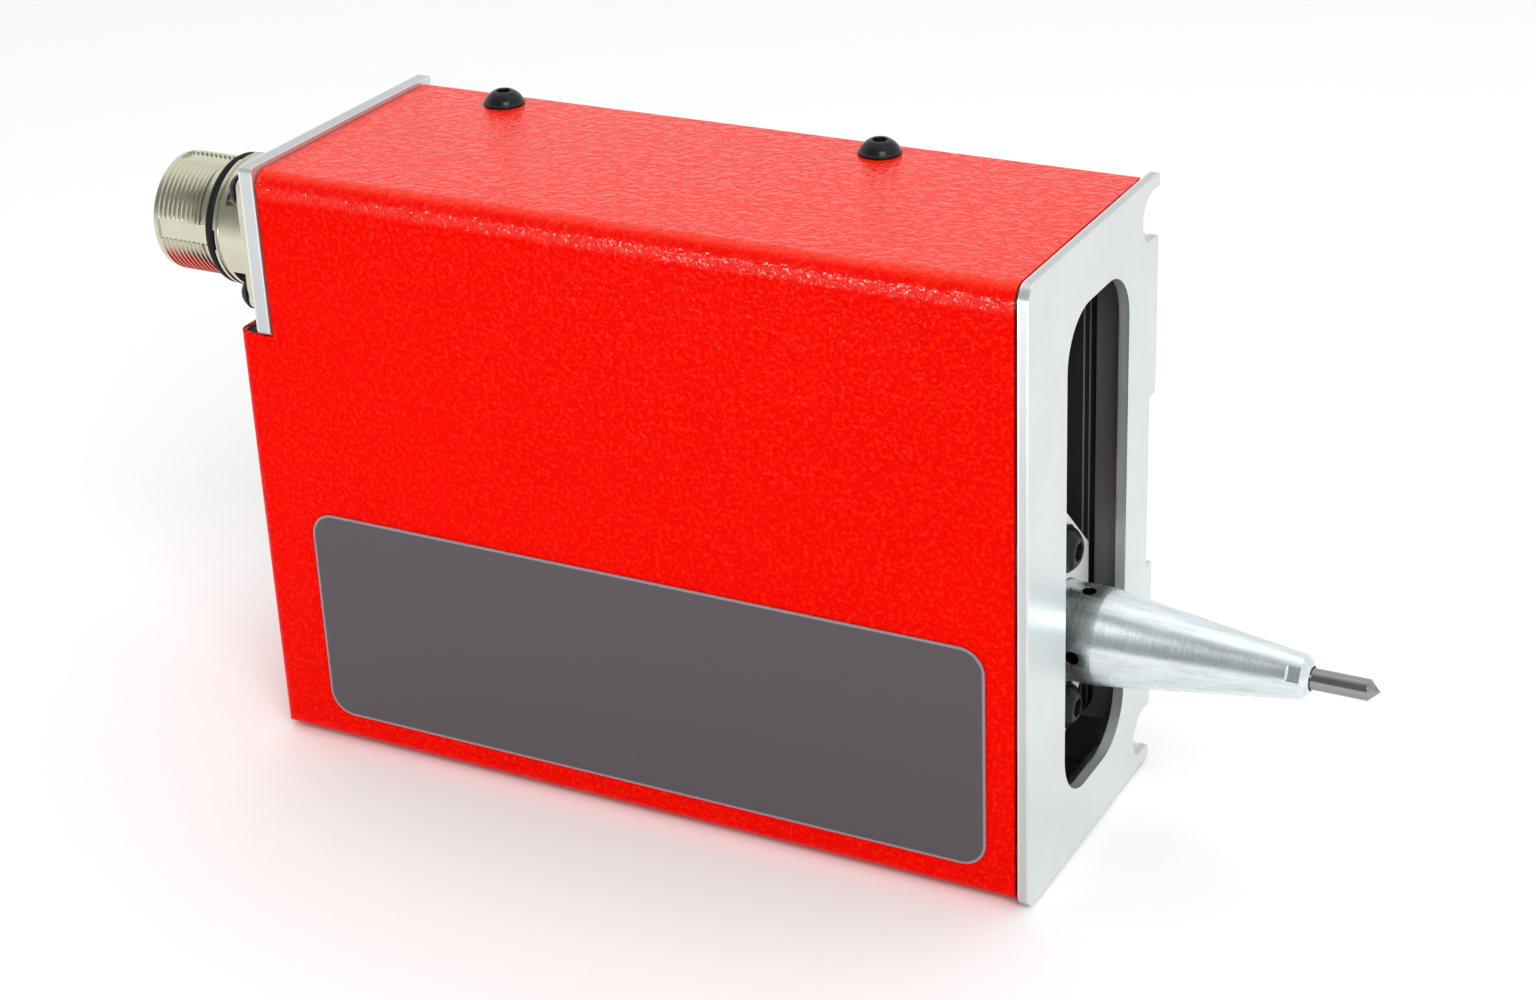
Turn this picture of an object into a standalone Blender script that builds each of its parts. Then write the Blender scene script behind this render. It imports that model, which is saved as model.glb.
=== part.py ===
"""Compact dot-marking head: a boxed two-axis unit with a striking stylus behind a front window.

+X points forward along the nozzle, +Y away to the mounting side, +Z up. The origin is the middle of the
whole part's base. Every length is in metres. Inside the housing, places are given as a distance behind the
front face, a distance across from the near side, and a height.
"""

import math

import bmesh
import bpy
from mathutils import Matrix, Vector

# Clearances
FIT = 0.0003
PANEL_GAP = 0.0001
OVERRUN = 0.002

# Housing
BODY_HEIGHT = 0.120
BODY_WIDTH = 0.060
BODY_LENGTH = 0.155

# Far edge shared by the plates: two clamping grooves and a relief between two pads
GROOVE_LIP = 0.0023
GROOVE_WIDTH = 0.0095
GROOVE_DEPTH = 0.0080
RELIEF_WIDTH = 0.035
RELIEF_DEPTH = 0.003

# Front plate
FRONT_THICK = 0.002
FRONT_CORNER_RADIUS = 0.003
WINDOW_NEAR = 0.017
WINDOW_WIDTH = 0.029
WINDOW_HEIGHT = 0.0958
WINDOW_RADIUS = 0.010

# Folded cover
SHEET = 0.001
COVER_INSET = 0.0004
COVER_FRONT_GAP = 0.0008
COVER_FAR_REACH = 0.0575
COVER_BEND = 0.0032
COVER_LOWER_REACH = 0.0085
COVER_STEP_HEIGHT = 0.0868

# Name panel
PANEL_FRONT = 0.0082
PANEL_REAR = 0.0046
PANEL_LOW = 0.0068
PANEL_HEIGHT = 0.0444
PANEL_CORNER = 0.005

# Base plate
BASE_THICK = 0.010
POCKET_DEPTH = 0.003
POCKET_FRONT = 0.0077
POCKET_REAR_WALL = 0.005
POCKET_CORNER = 0.005

# Crossbars behind the front plate
BAR_DEPTH = 0.005
BAR_HEIGHT = 0.0048
BAR_NEAR = 0.0045

# Rear plate
REAR_THICK = 0.003
REAR_RISE = 0.0005
REAR_CORNER_RADIUS = 0.001

# Cover screws: flanged button heads
COVER_SCREW_ACROSS = 0.0525
COVER_SCREW_FRONT = 0.0516
COVER_SCREW_REAR = 0.0222
COVER_SCREW_HEAD = 0.0041
COVER_SCREW_RISE = 0.0024
COVER_SCREW_SHANK = 0.0015
COVER_SCREW_LENGTH = 0.0028
COVER_SCREW_HEX = 0.00125
COUNTERSUNK_HEAD = 0.0036

# Rear plate screws
REAR_SCREW_ACROSS = 0.0555
REAR_SCREW_LOW = 0.0925
REAR_SCREW_PITCH = 0.0105
REAR_SCREW_HEAD = 0.0035
REAR_SCREW_SHANK = 0.0020
REAR_SCREW_LENGTH = 0.0080

# Connector
CONNECTOR_ACROSS = 0.0145
CONNECTOR_HEIGHT = 0.1042
CONNECTOR_REACH = 0.0250
CONNECTOR_FLANGE = 0.0265
CONNECTOR_FLANGE_THICK = 0.0020
CONNECTOR_FLANGE_CORNER = 0.0025
CONNECTOR_COLLAR = 0.0128
CONNECTOR_COLLAR_END = 0.0092
CONNECTOR_POCKET_END = 0.0066
CONNECTOR_BARREL = 0.0115
CONNECTOR_BARREL_START = 0.0110
CONNECTOR_CHAMFER = 0.0006
CONNECTOR_BORE = 0.0096
CONNECTOR_BORE_FLOOR = 0.0060
CONNECTOR_NECK = 0.0100
CONNECTOR_NECK_LENGTH = 0.0100
CONNECTOR_NECK_BORE = 0.0080
CONNECTOR_FLAT_DEPTH = 0.0003
SEAL_SECTION = 0.0009
INSERT_FACE = 0.0160
PIN_RADIUS = 0.0005
PIN_LENGTH = 0.0050
PIN_RING = 0.0066
PIN_INNER_RING = 0.0026
PIN_COUNT = 9
PIN_INNER_COUNT = 3
FLANGE_SCREW_PITCH = 0.0205
FLANGE_SCREW_HEAD = 0.0033
FLANGE_SCREW_RISE = 0.0022
FLANGE_SCREW_SHANK = 0.0015
FLANGE_SCREW_LENGTH = 0.0055
FLANGE_SCREW_HEX = 0.0010

# Marking head place, as photographed
HEAD_ACROSS = 0.0355
HEAD_HEIGHT = 0.0385

# Nozzle
NOZZLE_RADIUS = 0.0085
NOZZLE_BAND_END = 0.0010
NOZZLE_REACH = 0.0396
NOZZLE_TIP_RADIUS = 0.00415
NOZZLE_TIP_CHAMFER = 0.0022
NOZZLE_MOUTH_RADIUS = 0.0027
NOZZLE_COLLAR = 0.0100
NOZZLE_COLLAR_THICK = 0.0020
NOZZLE_BORE = 0.0047
NOZZLE_SPRING_STEP = 0.0120
NOZZLE_FRONT_WALL = 0.0056
NOZZLE_HOLE_RADIUS = 0.0010
NOZZLE_HOLE_BACK = 0.0026
NOZZLE_FLAT_SPAN = 0.0074
NOZZLE_FLAT_LENGTH = 0.0024

# Stylus and its drive
STYLUS_RADIUS = 0.0020
STYLUS_REACH = 0.0520
STYLUS_POINT = 0.0020
STYLUS_SOCKET = 0.0050
BUSH_RADIUS = 0.0030
BUSH_LENGTH = 0.0200
PLUNGER_RADIUS = 0.0042
PLUNGER_LENGTH = 0.0270
PLUNGER_FRONT = 0.0190
SPRING_WIRE = 0.00035
SPRING_RADIUS = 0.00365
SPRING_TURNS = 11
SPRING_POINTS_PER_TURN = 9

# Flange plate and head block
FLANGE_FRONT = 0.0080
FLANGE_THICK = 0.0040
FLANGE_WIDTH = 0.0250
FLANGE_HEIGHT = 0.0460
FLANGE_CHAMFER = 0.0035
HEAD_SCREW_PITCH = 0.0326
HEAD_SCREW_HEAD = 0.00475
HEAD_SCREW_RISE = 0.00275
HEAD_SCREW_SHANK = 0.0025
HEAD_SCREW_LENGTH = 0.0140
HEAD_SCREW_HEX = 0.0016
BLOCK_LENGTH = 0.0377
BLOCK_HEIGHT = 0.0430
BLOCK_BORE = 0.0114
BLOCK_CORNER = 0.0015
POLE_THICK = 0.0031
BOBBIN_LENGTH = 0.0290
BOBBIN_CORE = 0.0056
BOBBIN_CHEEK = 0.0015
WINDING_RADIUS = 0.0104

# Cross axis
Y_PLATE_THICK = 0.0036
Y_PLATE_HEIGHT = 0.0460
Y_RAIL_WIDTH = 0.0070
Y_RAIL_RISE = 0.0045
Y_RAIL_NEAR = 0.0080
Y_RAIL_LENGTH = 0.0340
Y_RAIL_LIFT = 0.0045
Y_CARRIAGE_WIDTH = 0.0170
Y_CARRIAGE_LENGTH = 0.0220
Y_CARRIAGE_RISE = 0.0060
Y_CARRIAGE_ACROSS = 0.0280
ARM_WIDTH = 0.0060
ARM_HEIGHT = 0.0080
ARM_ACROSS = 0.0385
ARM_DROP = 0.0150
Y_MOTOR_SIZE = 0.0200
Y_MOTOR_NEAR = 0.0030
Y_MOTOR_LENGTH = 0.0195
Y_SCREW_RADIUS = 0.0020
Y_SCREW_END = 0.0428
Y_SCREW_SOCKET = 0.0020
Y_NUT_RADIUS = 0.0032

# Moving bracket of the vertical axis
WALL_BACK = 0.0620
WALL_THICK = 0.0040
WALL_NEAR = 0.0070
WALL_TOP_RISE = 0.0215
WALL_DROP = 0.0100
LEG_THICK = 0.0037
LEG_RISE = 0.0135
LEG_REAR = 0.0895
EAR_NEAR = 0.0229
EAR_THICK = 0.0030
NUT_BLOCK_REACH = 0.0080
NUT_BLOCK_DEPTH = 0.0147
NUT_BLOCK_HEIGHT = 0.0120
NUT_BLOCK_DROP = 0.0085

# Vertical guide
Z_RAIL_BACK = 0.0780
Z_RAIL_WIDTH = 0.0090
Z_RAIL_RISE = 0.0062
Z_RAIL_END_GAP = 0.0010
Z_CARRIAGE_WIDTH = 0.0200
Z_CARRIAGE_LENGTH = 0.0260
Z_CARRIAGE_RISE = 0.0080
Z_CARRIAGE_LIFT = 0.0017
Z_CARRIAGE_DROP = 0.0010
RAIL_WAIST = 0.0008

# Vertical drive
Z_SCREW_BACK = 0.0980
Z_SCREW_ACROSS = 0.0360
Z_SCREW_RADIUS = 0.0030
Z_NUT_RADIUS = 0.0050
Z_NUT_FLANGE = 0.0070
Z_NUT_FLANGE_THICK = 0.0020
BEARING_RADIUS = 0.0065
BEARING_WIDTH = 0.0050
BEARING_BLOCK_LENGTH = 0.0200
BEARING_BLOCK_DEPTH = 0.0210
BEARING_BLOCK_HEIGHT = 0.0080
BEARING_BLOCK_LOW = 0.1085
DRIVE_PLATE_LOW = 0.0069
DRIVE_PLATE_THICK = 0.0050
DRIVE_PLATE_FRONT = 0.0880
DRIVE_PLATE_REAR = 0.0090
DRIVE_PLATE_NEAR = 0.0200
Z_MOTOR_REAR = 0.0250
Z_MOTOR_SIZE = 0.0280
Z_MOTOR_LENGTH = 0.0340
Z_MOTOR_CAP = 0.0080
MOTOR_STACK_INSET = 0.0005
MOTOR_SHAFT_RADIUS = 0.0025
PULLEY_TEETH = 18
PULLEY_RADIUS = 0.0058
PULLEY_TOOTH_DEPTH = 0.0008
PULLEY_LOW = 0.0030
PULLEY_HEIGHT = 0.0034
BELT_THICK = 0.0012

# Home sensors
SENSOR_BACK = 0.1080
SENSOR_DEPTH = 0.0055
SENSOR_ACROSS = 0.0385
SENSOR_WIDTH = 0.0110
SENSOR_SLOT = 0.0040
SENSOR_HEIGHT = 0.0115
SENSOR_FLOOR = 0.0030
FLAG_THICK = 0.0010
FLAG_REACH = 0.0065
FLAG_LOW = 0.0300
FLAG_HEIGHT = 0.0110
SWITCH_WIDTH = 0.0050
SWITCH_HEIGHT = 0.0060
SWITCH_DEPTH = 0.0045
SWITCH_LIFT = 0.0145
SWITCH_BUTTON = 0.0010
TRIP_ACROSS = 0.0330
TRIP_THICK = 0.0015

# Interface board
BOARD_REAR = 0.0060
BOARD_LENGTH = 0.0370
BOARD_LOW = 0.0580
BOARD_HEIGHT = 0.0460
BOARD_THICK = 0.0016
SPACER_RADIUS = 0.0025
SPACER_LENGTH = 0.0057
SPACER_INSET = 0.0040
HEADER_WIDTH = 0.0060
HEADER_RISE = 0.0070
CHIP_SIZE = 0.0100
CHIP_RISE = 0.0014

# Facets
FINE = 48
ROUND = 24
SMALL = 12
BEND_STEPS = 5
SMOOTH_ANGLE = math.radians(35)

# Places worked out from the sizes above
REAR_FACE = BODY_LENGTH + REAR_THICK
FRONT_X = (REAR_FACE + CONNECTOR_REACH - STYLUS_REACH) / 2
COVER_LOW = COVER_INSET
COVER_SCREW_REAR_BACK = BODY_LENGTH - COVER_SCREW_REAR
PANEL_REAR_BACK = BODY_LENGTH - PANEL_REAR
DRIVE_PLATE_REAR_BACK = BODY_LENGTH - DRIVE_PLATE_REAR
Z_MOTOR_BACK = BODY_LENGTH - Z_MOTOR_REAR
BOARD_REAR_BACK = BODY_LENGTH - BOARD_REAR
COVER_HIGH = BODY_HEIGHT - COVER_INSET
BASE_LOW = COVER_LOW + SHEET + FIT
BASE_HIGH = BODY_HEIGHT - BASE_LOW
BASE_INNER = BODY_WIDTH - BASE_THICK
POCKET_FLOOR = BASE_INNER + POCKET_DEPTH
WINDOW_LOW = (BODY_HEIGHT - WINDOW_HEIGHT) / 2
WINDOW_HIGH = WINDOW_LOW + WINDOW_HEIGHT
BLOCK_FRONT = FLANGE_FRONT + FLANGE_THICK + FIT
BLOCK_BACK = BLOCK_FRONT + BLOCK_LENGTH
WALL_REAR = WALL_BACK + WALL_THICK
Z_RAIL_TOP = POCKET_FLOOR - FIT - Z_RAIL_RISE
Z_CARRIAGE_FACE = POCKET_FLOOR - Z_CARRIAGE_LIFT - FIT - Z_CARRIAGE_RISE
LEG_FAR = Z_CARRIAGE_FACE - FIT
LEG_NEAR = LEG_FAR - LEG_THICK
Y_MOTOR_BACK = WALL_REAR + FIT + Y_MOTOR_SIZE / 2
ARM_MIDDLE = HEAD_HEIGHT - ARM_DROP
DRIVE_PLATE_TOP = DRIVE_PLATE_LOW + DRIVE_PLATE_THICK


def back(distance):
    """World X of a place behind the front face."""
    return FRONT_X - distance


def across(distance):
    """World Y of a place measured from the near side."""
    return distance - BODY_WIDTH / 2


def clear_scene():
    for thing in list(bpy.data.objects):
        bpy.data.objects.remove(thing, do_unlink=True)


# Finishes


def finish(name, colour, roughness, metallic):
    made = bpy.data.materials.get(name)
    if made is None:
        made = bpy.data.materials.new(name)
        made.use_nodes = True
        shader = made.node_tree.nodes["Principled BSDF"]
        shader.inputs["Base Color"].default_value = (*colour, 1)
        shader.inputs["Roughness"].default_value = roughness
        shader.inputs["Metallic"].default_value = metallic
    return made


def red_paint():
    return finish("red_paint", (0.80, 0.010, 0.003), 0.35, 0)


def aluminium():
    return finish("aluminium", (0.80, 0.82, 0.83), 0.35, 1)


def turned_aluminium():
    return finish("turned_aluminium", (0.72, 0.75, 0.77), 0.28, 1)


def nickel():
    return finish("nickel", (0.72, 0.68, 0.56), 0.25, 1)


def steel():
    return finish("steel", (0.52, 0.52, 0.51), 0.30, 1)


def black_steel():
    return finish("black_steel", (0.02, 0.02, 0.022), 0.35, 0.6)


def carbide():
    return finish("carbide", (0.42, 0.43, 0.42), 0.25, 1)


def dark_panel():
    return finish("dark_panel", (0.10, 0.085, 0.095), 0.6, 0)


def rubber():
    return finish("rubber", (0.015, 0.015, 0.015), 0.6, 0)


def black_plastic():
    return finish("black_plastic", (0.03, 0.03, 0.03), 0.5, 0)


def brass():
    return finish("brass", (0.70, 0.52, 0.22), 0.3, 1)


def copper():
    return finish("copper", (0.72, 0.33, 0.16), 0.35, 1)


def board_green():
    return finish("board_green", (0.02, 0.16, 0.07), 0.5, 0)


# Objects and shapes


def place(name, mesh, material, parent=None, at=(0, 0, 0), turn=(0, 0, 0)):
    """A named object with its own finish, moved and turned into place."""
    made = bpy.data.objects.new(name, mesh)
    bpy.context.scene.collection.objects.link(made)
    made.rotation_euler = turn
    made.location = at
    if material is not None and not mesh.materials:
        mesh.materials.append(material)
    if parent is not None:
        made.parent = parent
        made.matrix_parent_inverse = parent.matrix_world.inverted()
    return made


def axis_empty(name, at, parent=None):
    """An empty on a joint's axis that carries the pieces of one moving body."""
    made = bpy.data.objects.new(name, None)
    bpy.context.scene.collection.objects.link(made)
    made.location = at
    if parent is not None:
        made.parent = parent
        made.matrix_parent_inverse = parent.matrix_world.inverted()
    bpy.context.view_layer.update()
    return made


def to_mesh(name, work, smooth=False):
    bmesh.ops.recalc_face_normals(work, faces=work.faces)
    made = bpy.data.meshes.new(name)
    work.to_mesh(made)
    work.free()
    if smooth:
        made.shade_smooth()
        made.set_sharp_from_angle(angle=SMOOTH_ANGLE)
    return made


def arc(centre, radius, start_turn, end_turn, steps):
    """Points along an arc; its two turns are shares of a full circle."""
    points = []
    for step in range(steps + 1):
        angle = 2 * math.pi * (start_turn + (end_turn - start_turn) * step / steps)
        points.append((centre[0] + radius * math.cos(angle), centre[1] + radius * math.sin(angle)))
    return points


def rounded_rectangle(low, high, radius, steps=BEND_STEPS):
    """Outline with four equal round corners, anticlockwise."""
    left, bottom = low[0] + radius, low[1] + radius
    right, top = high[0] - radius, high[1] - radius
    return (
        arc((right, top), radius, 0, 0.25, steps)
        + arc((left, top), radius, 0.25, 0.5, steps)
        + arc((left, bottom), radius, 0.5, 0.75, steps)
        + arc((right, bottom), radius, 0.75, 1, steps)
    )


def chamfered_rectangle(low, high, cut):
    """Outline with four cut corners, anticlockwise."""
    return [
        (high[0], low[1] + cut),
        (high[0], high[1] - cut),
        (high[0] - cut, high[1]),
        (low[0] + cut, high[1]),
        (low[0], high[1] - cut),
        (low[0], low[1] + cut),
        (low[0] + cut, low[1]),
        (high[0] - cut, low[1]),
    ]


def rectangle(low, high):
    return [(high[0], low[1]), (high[0], high[1]), (low[0], high[1]), (low[0], low[1])]


def along(axis, point, distance):
    """A point of an outline, set at a distance along the axis that the outline is square to."""
    if axis == "X":
        return (distance, point[0], point[1])
    if axis == "Y":
        return (point[0], distance, point[1])
    return (point[0], point[1], distance)


def prism(name, outline, axis, start, end, smooth=False):
    """An outline pushed along X, Y or Z; the outline's places are in the other two, in their order."""
    work = bmesh.new()
    ring = [work.verts.new(along(axis, point, start)) for point in outline]
    face = work.faces.new(ring)
    pushed = bmesh.ops.extrude_face_region(work, geom=[face])
    moved = [item for item in pushed["geom"] if isinstance(item, bmesh.types.BMVert)]
    shift = Vector(along(axis, (0, 0), end - start))
    bmesh.ops.translate(work, verts=moved, vec=shift)
    return to_mesh(name, work, smooth)


def turned(name, profile, segments, closed=False, shape=None):
    """A profile of (radius, height) turned about local Z; a closed profile makes a ring."""
    work = bmesh.new()
    rail = [work.verts.new((radius, 0, height)) for radius, height in profile]
    pairs = list(zip(rail, rail[1:]))
    if closed:
        pairs.append((rail[-1], rail[0]))
    edges = [work.edges.new(pair) for pair in pairs]
    bmesh.ops.spin(
        work,
        geom=rail + edges,
        cent=(0, 0, 0),
        axis=(0, 0, 1),
        angle=2 * math.pi,
        steps=segments,
        use_merge=True,
    )
    bmesh.ops.remove_doubles(work, verts=work.verts, dist=FIT / 100)
    if shape is not None:
        for vertex in work.verts:
            vertex.co = shape(vertex.co)
    return to_mesh(name, work, True)


def guide(name, mesh):
    """A shape that only cuts or joins another, and is not a piece itself."""
    made = place(name, mesh, None)
    made.hide_render = True
    made.display_type = "WIRE"
    return made


def combine(target, other, operation):
    step = target.modifiers.new(other.name, "BOOLEAN")
    step.object = other
    step.operation = operation
    step.solver = "EXACT"


def cut(target, name, mesh):
    combine(target, guide(name, mesh), "DIFFERENCE")


def join(target, name, mesh):
    combine(target, guide(name, mesh), "UNION")


def cut_hole(target, name, radius, axis, middle, start, end, segments=ROUND):
    """A round hole along an axis; middle is its place in the other two."""
    cut(target, name, prism(name, arc(middle, radius, 0, 1 - 1 / segments, segments - 1), axis, start, end))


# Fasteners


def socket_screw_mesh(name, head, rise, rim, shank, length, hexagon, segments):
    """A domed head with a rim and a six-sided socket; local Z points out of the head, its seat at zero."""
    corner = hexagon / math.cos(math.pi / 6)
    dome = []
    for step in range(4):
        angle = math.pi / 2 * step / 4
        dome.append((corner * 1.3 + (head - corner * 1.3) * math.cos(angle), rim + (rise - rim) * math.sin(angle)))
    profile = [
        (0, rise / 3),
        (corner, rise / 3),
        (corner, rise),
        (corner * 1.3, rise),
        *reversed(dome),
        (head, 0),
        (shank, 0),
        (shank, -length),
        (0, -length),
    ]

    def six_sided(point):
        radius = math.hypot(point.x, point.y)
        if abs(radius - corner) > FIT / 100 or point.z < rise / 4:
            return point
        angle = math.atan2(point.y, point.x)
        bent = (angle + math.pi / 6) % (math.pi / 3) - math.pi / 6
        wanted = hexagon / math.cos(math.pi / 6 - abs(bent))
        return Vector((math.cos(angle) * wanted, math.sin(angle) * wanted, point.z))

    return turned(name, profile, segments, shape=six_sided)


def countersunk_mesh(name, clearance, length, segments):
    """A flat-headed screw with a socket, or with a clearance the plain shape of its hole."""
    head = COUNTERSUNK_HEAD + clearance
    shank = COVER_SCREW_SHANK + clearance
    corner = COVER_SCREW_HEX / math.cos(math.pi / 6)
    sides = [(head, 0), (shank, shank - head), (shank, -length), (0, -length)]
    if clearance:
        return turned(name, [(0, OVERRUN), (head, OVERRUN), *sides], segments)
    return turned(name, [(0, -COVER_SCREW_HEX), (corner, -COVER_SCREW_HEX), (corner, 0), *sides], segments)


FACING_BACK = (0, -math.pi / 2, 0)
FACING_FRONT = (0, math.pi / 2, 0)
FACING_UP = (0, 0, 0)
FACING_DOWN = (math.pi, 0, 0)
FACING_FAR = (-math.pi / 2, 0, 0)


# Housing


def far_edge(low, high):
    """The far side's outline from low to high: clamping grooves near both ends and a relief between."""
    points = [(across(BODY_WIDTH), low)]
    radius = GROOVE_WIDTH / 2
    inner = across(BODY_WIDTH - GROOVE_DEPTH) + radius
    grooves = [GROOVE_LIP, BODY_HEIGHT - GROOVE_LIP - GROOVE_WIDTH]
    relief = (BODY_HEIGHT - RELIEF_WIDTH) / 2
    for start in (grooves[0], relief, grooves[1]):
        if start < low or start > high:
            continue
        if start == relief:
            points.append((across(BODY_WIDTH), start))
            points.append((across(BODY_WIDTH - RELIEF_DEPTH), start))
            points.append((across(BODY_WIDTH - RELIEF_DEPTH), start + RELIEF_WIDTH))
            points.append((across(BODY_WIDTH), start + RELIEF_WIDTH))
        else:
            points.append((across(BODY_WIDTH), start))
            points += arc((inner, start + radius), radius, 0.75, 0.25, 2 * BEND_STEPS)
            points.append((across(BODY_WIDTH), start + GROOVE_WIDTH))
    points.append((across(BODY_WIDTH), high))
    return points


def plate_outline(low, high, corner):
    """A plate of full width with round near corners and the shared far edge."""
    near = across(0) + corner
    return (
        far_edge(low, high)
        + arc((near, high - corner), corner, 0.25, 0.5, BEND_STEPS)
        + arc((near, low + corner), corner, 0.5, 0.75, BEND_STEPS)
    )


def make_front_plate():
    outline = plate_outline(0, BODY_HEIGHT, FRONT_CORNER_RADIUS)
    plate = place("front_plate", prism("front_plate", outline, "X", back(FRONT_THICK), back(0)), aluminium())
    window = rounded_rectangle(
        (across(WINDOW_NEAR), WINDOW_LOW),
        (across(WINDOW_NEAR + WINDOW_WIDTH), WINDOW_HIGH),
        WINDOW_RADIUS,
        BEND_STEPS + 3,
    )
    cut(plate, "window_cut", prism("window_cut", window, "X", back(FRONT_THICK + OVERRUN), back(-OVERRUN)))


def cut_countersunk(target, name, distance, reach):
    """The hole of a flat-headed screw that comes up through the underside."""
    drill = countersunk_mesh(name, FIT, reach - COVER_LOW, SMALL)
    spot = Matrix.Translation((back(distance), across(COVER_SCREW_ACROSS), COVER_LOW))
    drill.transform(spot @ Matrix.Rotation(math.pi, 4, "X"))
    cut(target, name, drill)


def make_base_plate():
    outline = far_edge(BASE_LOW, BASE_HIGH) + [(across(BASE_INNER), BASE_HIGH), (across(BASE_INNER), BASE_LOW)]
    front = back(FRONT_THICK + FIT)
    rear = back(BODY_LENGTH - FIT)
    foot = back(BODY_LENGTH + COVER_LOWER_REACH - SHEET - FIT)
    plate = place("base_plate", prism("base_plate", outline, "X", foot, front), aluminium())
    step_low = COVER_STEP_HEIGHT - SHEET - FIT
    step = rectangle((across(BASE_INNER - OVERRUN), step_low), (across(BODY_WIDTH + OVERRUN), BODY_HEIGHT))
    cut(plate, "base_step_cut", prism("base_step_cut", step, "X", foot - OVERRUN, rear))
    pocket = rounded_rectangle(
        (back(BODY_LENGTH - POCKET_REAR_WALL), WINDOW_LOW), (back(POCKET_FRONT), WINDOW_HIGH), POCKET_CORNER
    )
    cut(
        plate,
        "pocket_cut",
        prism("pocket_cut", pocket, "Y", across(BASE_INNER - OVERRUN), across(POCKET_FLOOR)),
    )
    groove_middle = BODY_HEIGHT - GROOVE_LIP - GROOVE_WIDTH / 2
    for index, distance in enumerate((COVER_SCREW_FRONT, COVER_SCREW_REAR_BACK)):
        middle = (back(distance), across(COVER_SCREW_ACROSS))
        radius = COVER_SCREW_SHANK + FIT
        top = BASE_HIGH + OVERRUN
        cut_hole(plate, f"base_top_hole_{index}", radius, "Z", middle, groove_middle, top, SMALL)
        cut_countersunk(plate, f"base_low_hole_{index}", distance, BODY_HEIGHT - groove_middle)
    for index in range(2):
        middle = (across(REAR_SCREW_ACROSS), REAR_SCREW_LOW + REAR_SCREW_PITCH * index)
        radius = REAR_SCREW_SHANK + FIT
        inner = back(REAR_FACE - REAR_SCREW_LENGTH - FIT)
        cut_hole(plate, f"base_rear_hole_{index}", radius, "X", middle, rear - OVERRUN, inner, SMALL)


def soft_box(name, low, high, bend, rear_bend):
    """A box whose two near long edges are rounded, and its near rear edge too where asked."""
    work = bmesh.new()
    bmesh.ops.create_cube(work, size=1)
    size = Vector(high) - Vector(low)
    middle = (Vector(high) + Vector(low)) / 2
    for vertex in work.verts:
        vertex.co = Vector((vertex.co.x * size.x, vertex.co.y * size.y, vertex.co.z * size.z)) + middle
    chosen = []
    for edge in work.edges:
        first, second = edge.verts[0].co, edge.verts[1].co
        near = max(first.y, second.y) < middle.y
        lengthwise = near and abs(first.x - second.x) > size.x / 2
        upright = near and abs(first.z - second.z) > size.z / 2 and first.x < middle.x
        if lengthwise or (upright and rear_bend):
            chosen.append(edge)
    bmesh.ops.bevel(
        work, geom=chosen, offset=bend, segments=BEND_STEPS, profile=0.5, affect="EDGES", material=-1
    )
    return to_mesh(name, work)


def make_cover():
    front = back(FRONT_THICK + COVER_FRONT_GAP)
    rear = back(BODY_LENGTH + COVER_LOWER_REACH)
    near, far = across(COVER_INSET), across(COVER_FAR_REACH)
    outer = soft_box("cover", (rear, near, COVER_LOW), (front, far, COVER_HIGH), COVER_BEND, True)
    cover = place("cover", outer, red_paint())
    inner_low = COVER_LOW + SHEET
    inner_high = COVER_HIGH - SHEET
    inner_bend = COVER_BEND - SHEET
    inner_near = near + SHEET
    beyond = far + OVERRUN
    main = soft_box(
        "cover_main_cut",
        (back(BODY_LENGTH), inner_near, inner_low),
        (front + OVERRUN, beyond, inner_high),
        inner_bend,
        False,
    )
    cut(cover, "cover_main_cut", main)
    lip_low = COVER_STEP_HEIGHT - SHEET
    foot = soft_box(
        "cover_foot_cut",
        (rear + SHEET, inner_near, inner_low),
        (back(BODY_LENGTH - OVERRUN), beyond, lip_low),
        inner_bend,
        True,
    )
    cut(cover, "cover_foot_cut", foot)
    step = rectangle((rear - OVERRUN, near - OVERRUN), (back(BODY_LENGTH - FIT), beyond))
    cut(cover, "cover_step_cut", prism("cover_step_cut", step, "Z", COVER_STEP_HEIGHT, COVER_HIGH + OVERRUN))
    for index, distance in enumerate((COVER_SCREW_FRONT, COVER_SCREW_REAR_BACK)):
        middle = (back(distance), across(COVER_SCREW_ACROSS))
        radius = COVER_SCREW_SHANK + FIT
        cut_countersunk(cover, f"cover_low_hole_{index}", distance, GROOVE_WIDTH / 2)
        low, high = COVER_HIGH - SHEET - OVERRUN, COVER_HIGH + OVERRUN
        cut_hole(cover, f"cover_top_hole_{index}", radius, "Z", middle, low, high, SMALL)


def make_name_panel():
    low = (back(PANEL_REAR_BACK), PANEL_LOW)
    high = (back(PANEL_FRONT), PANEL_LOW + PANEL_HEIGHT)
    outline = rounded_rectangle(low, high, PANEL_CORNER)
    place(
        "name_panel",
        prism("name_panel", outline, "Y", across(0), across(COVER_INSET - PANEL_GAP)),
        dark_panel(),
    )


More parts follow.
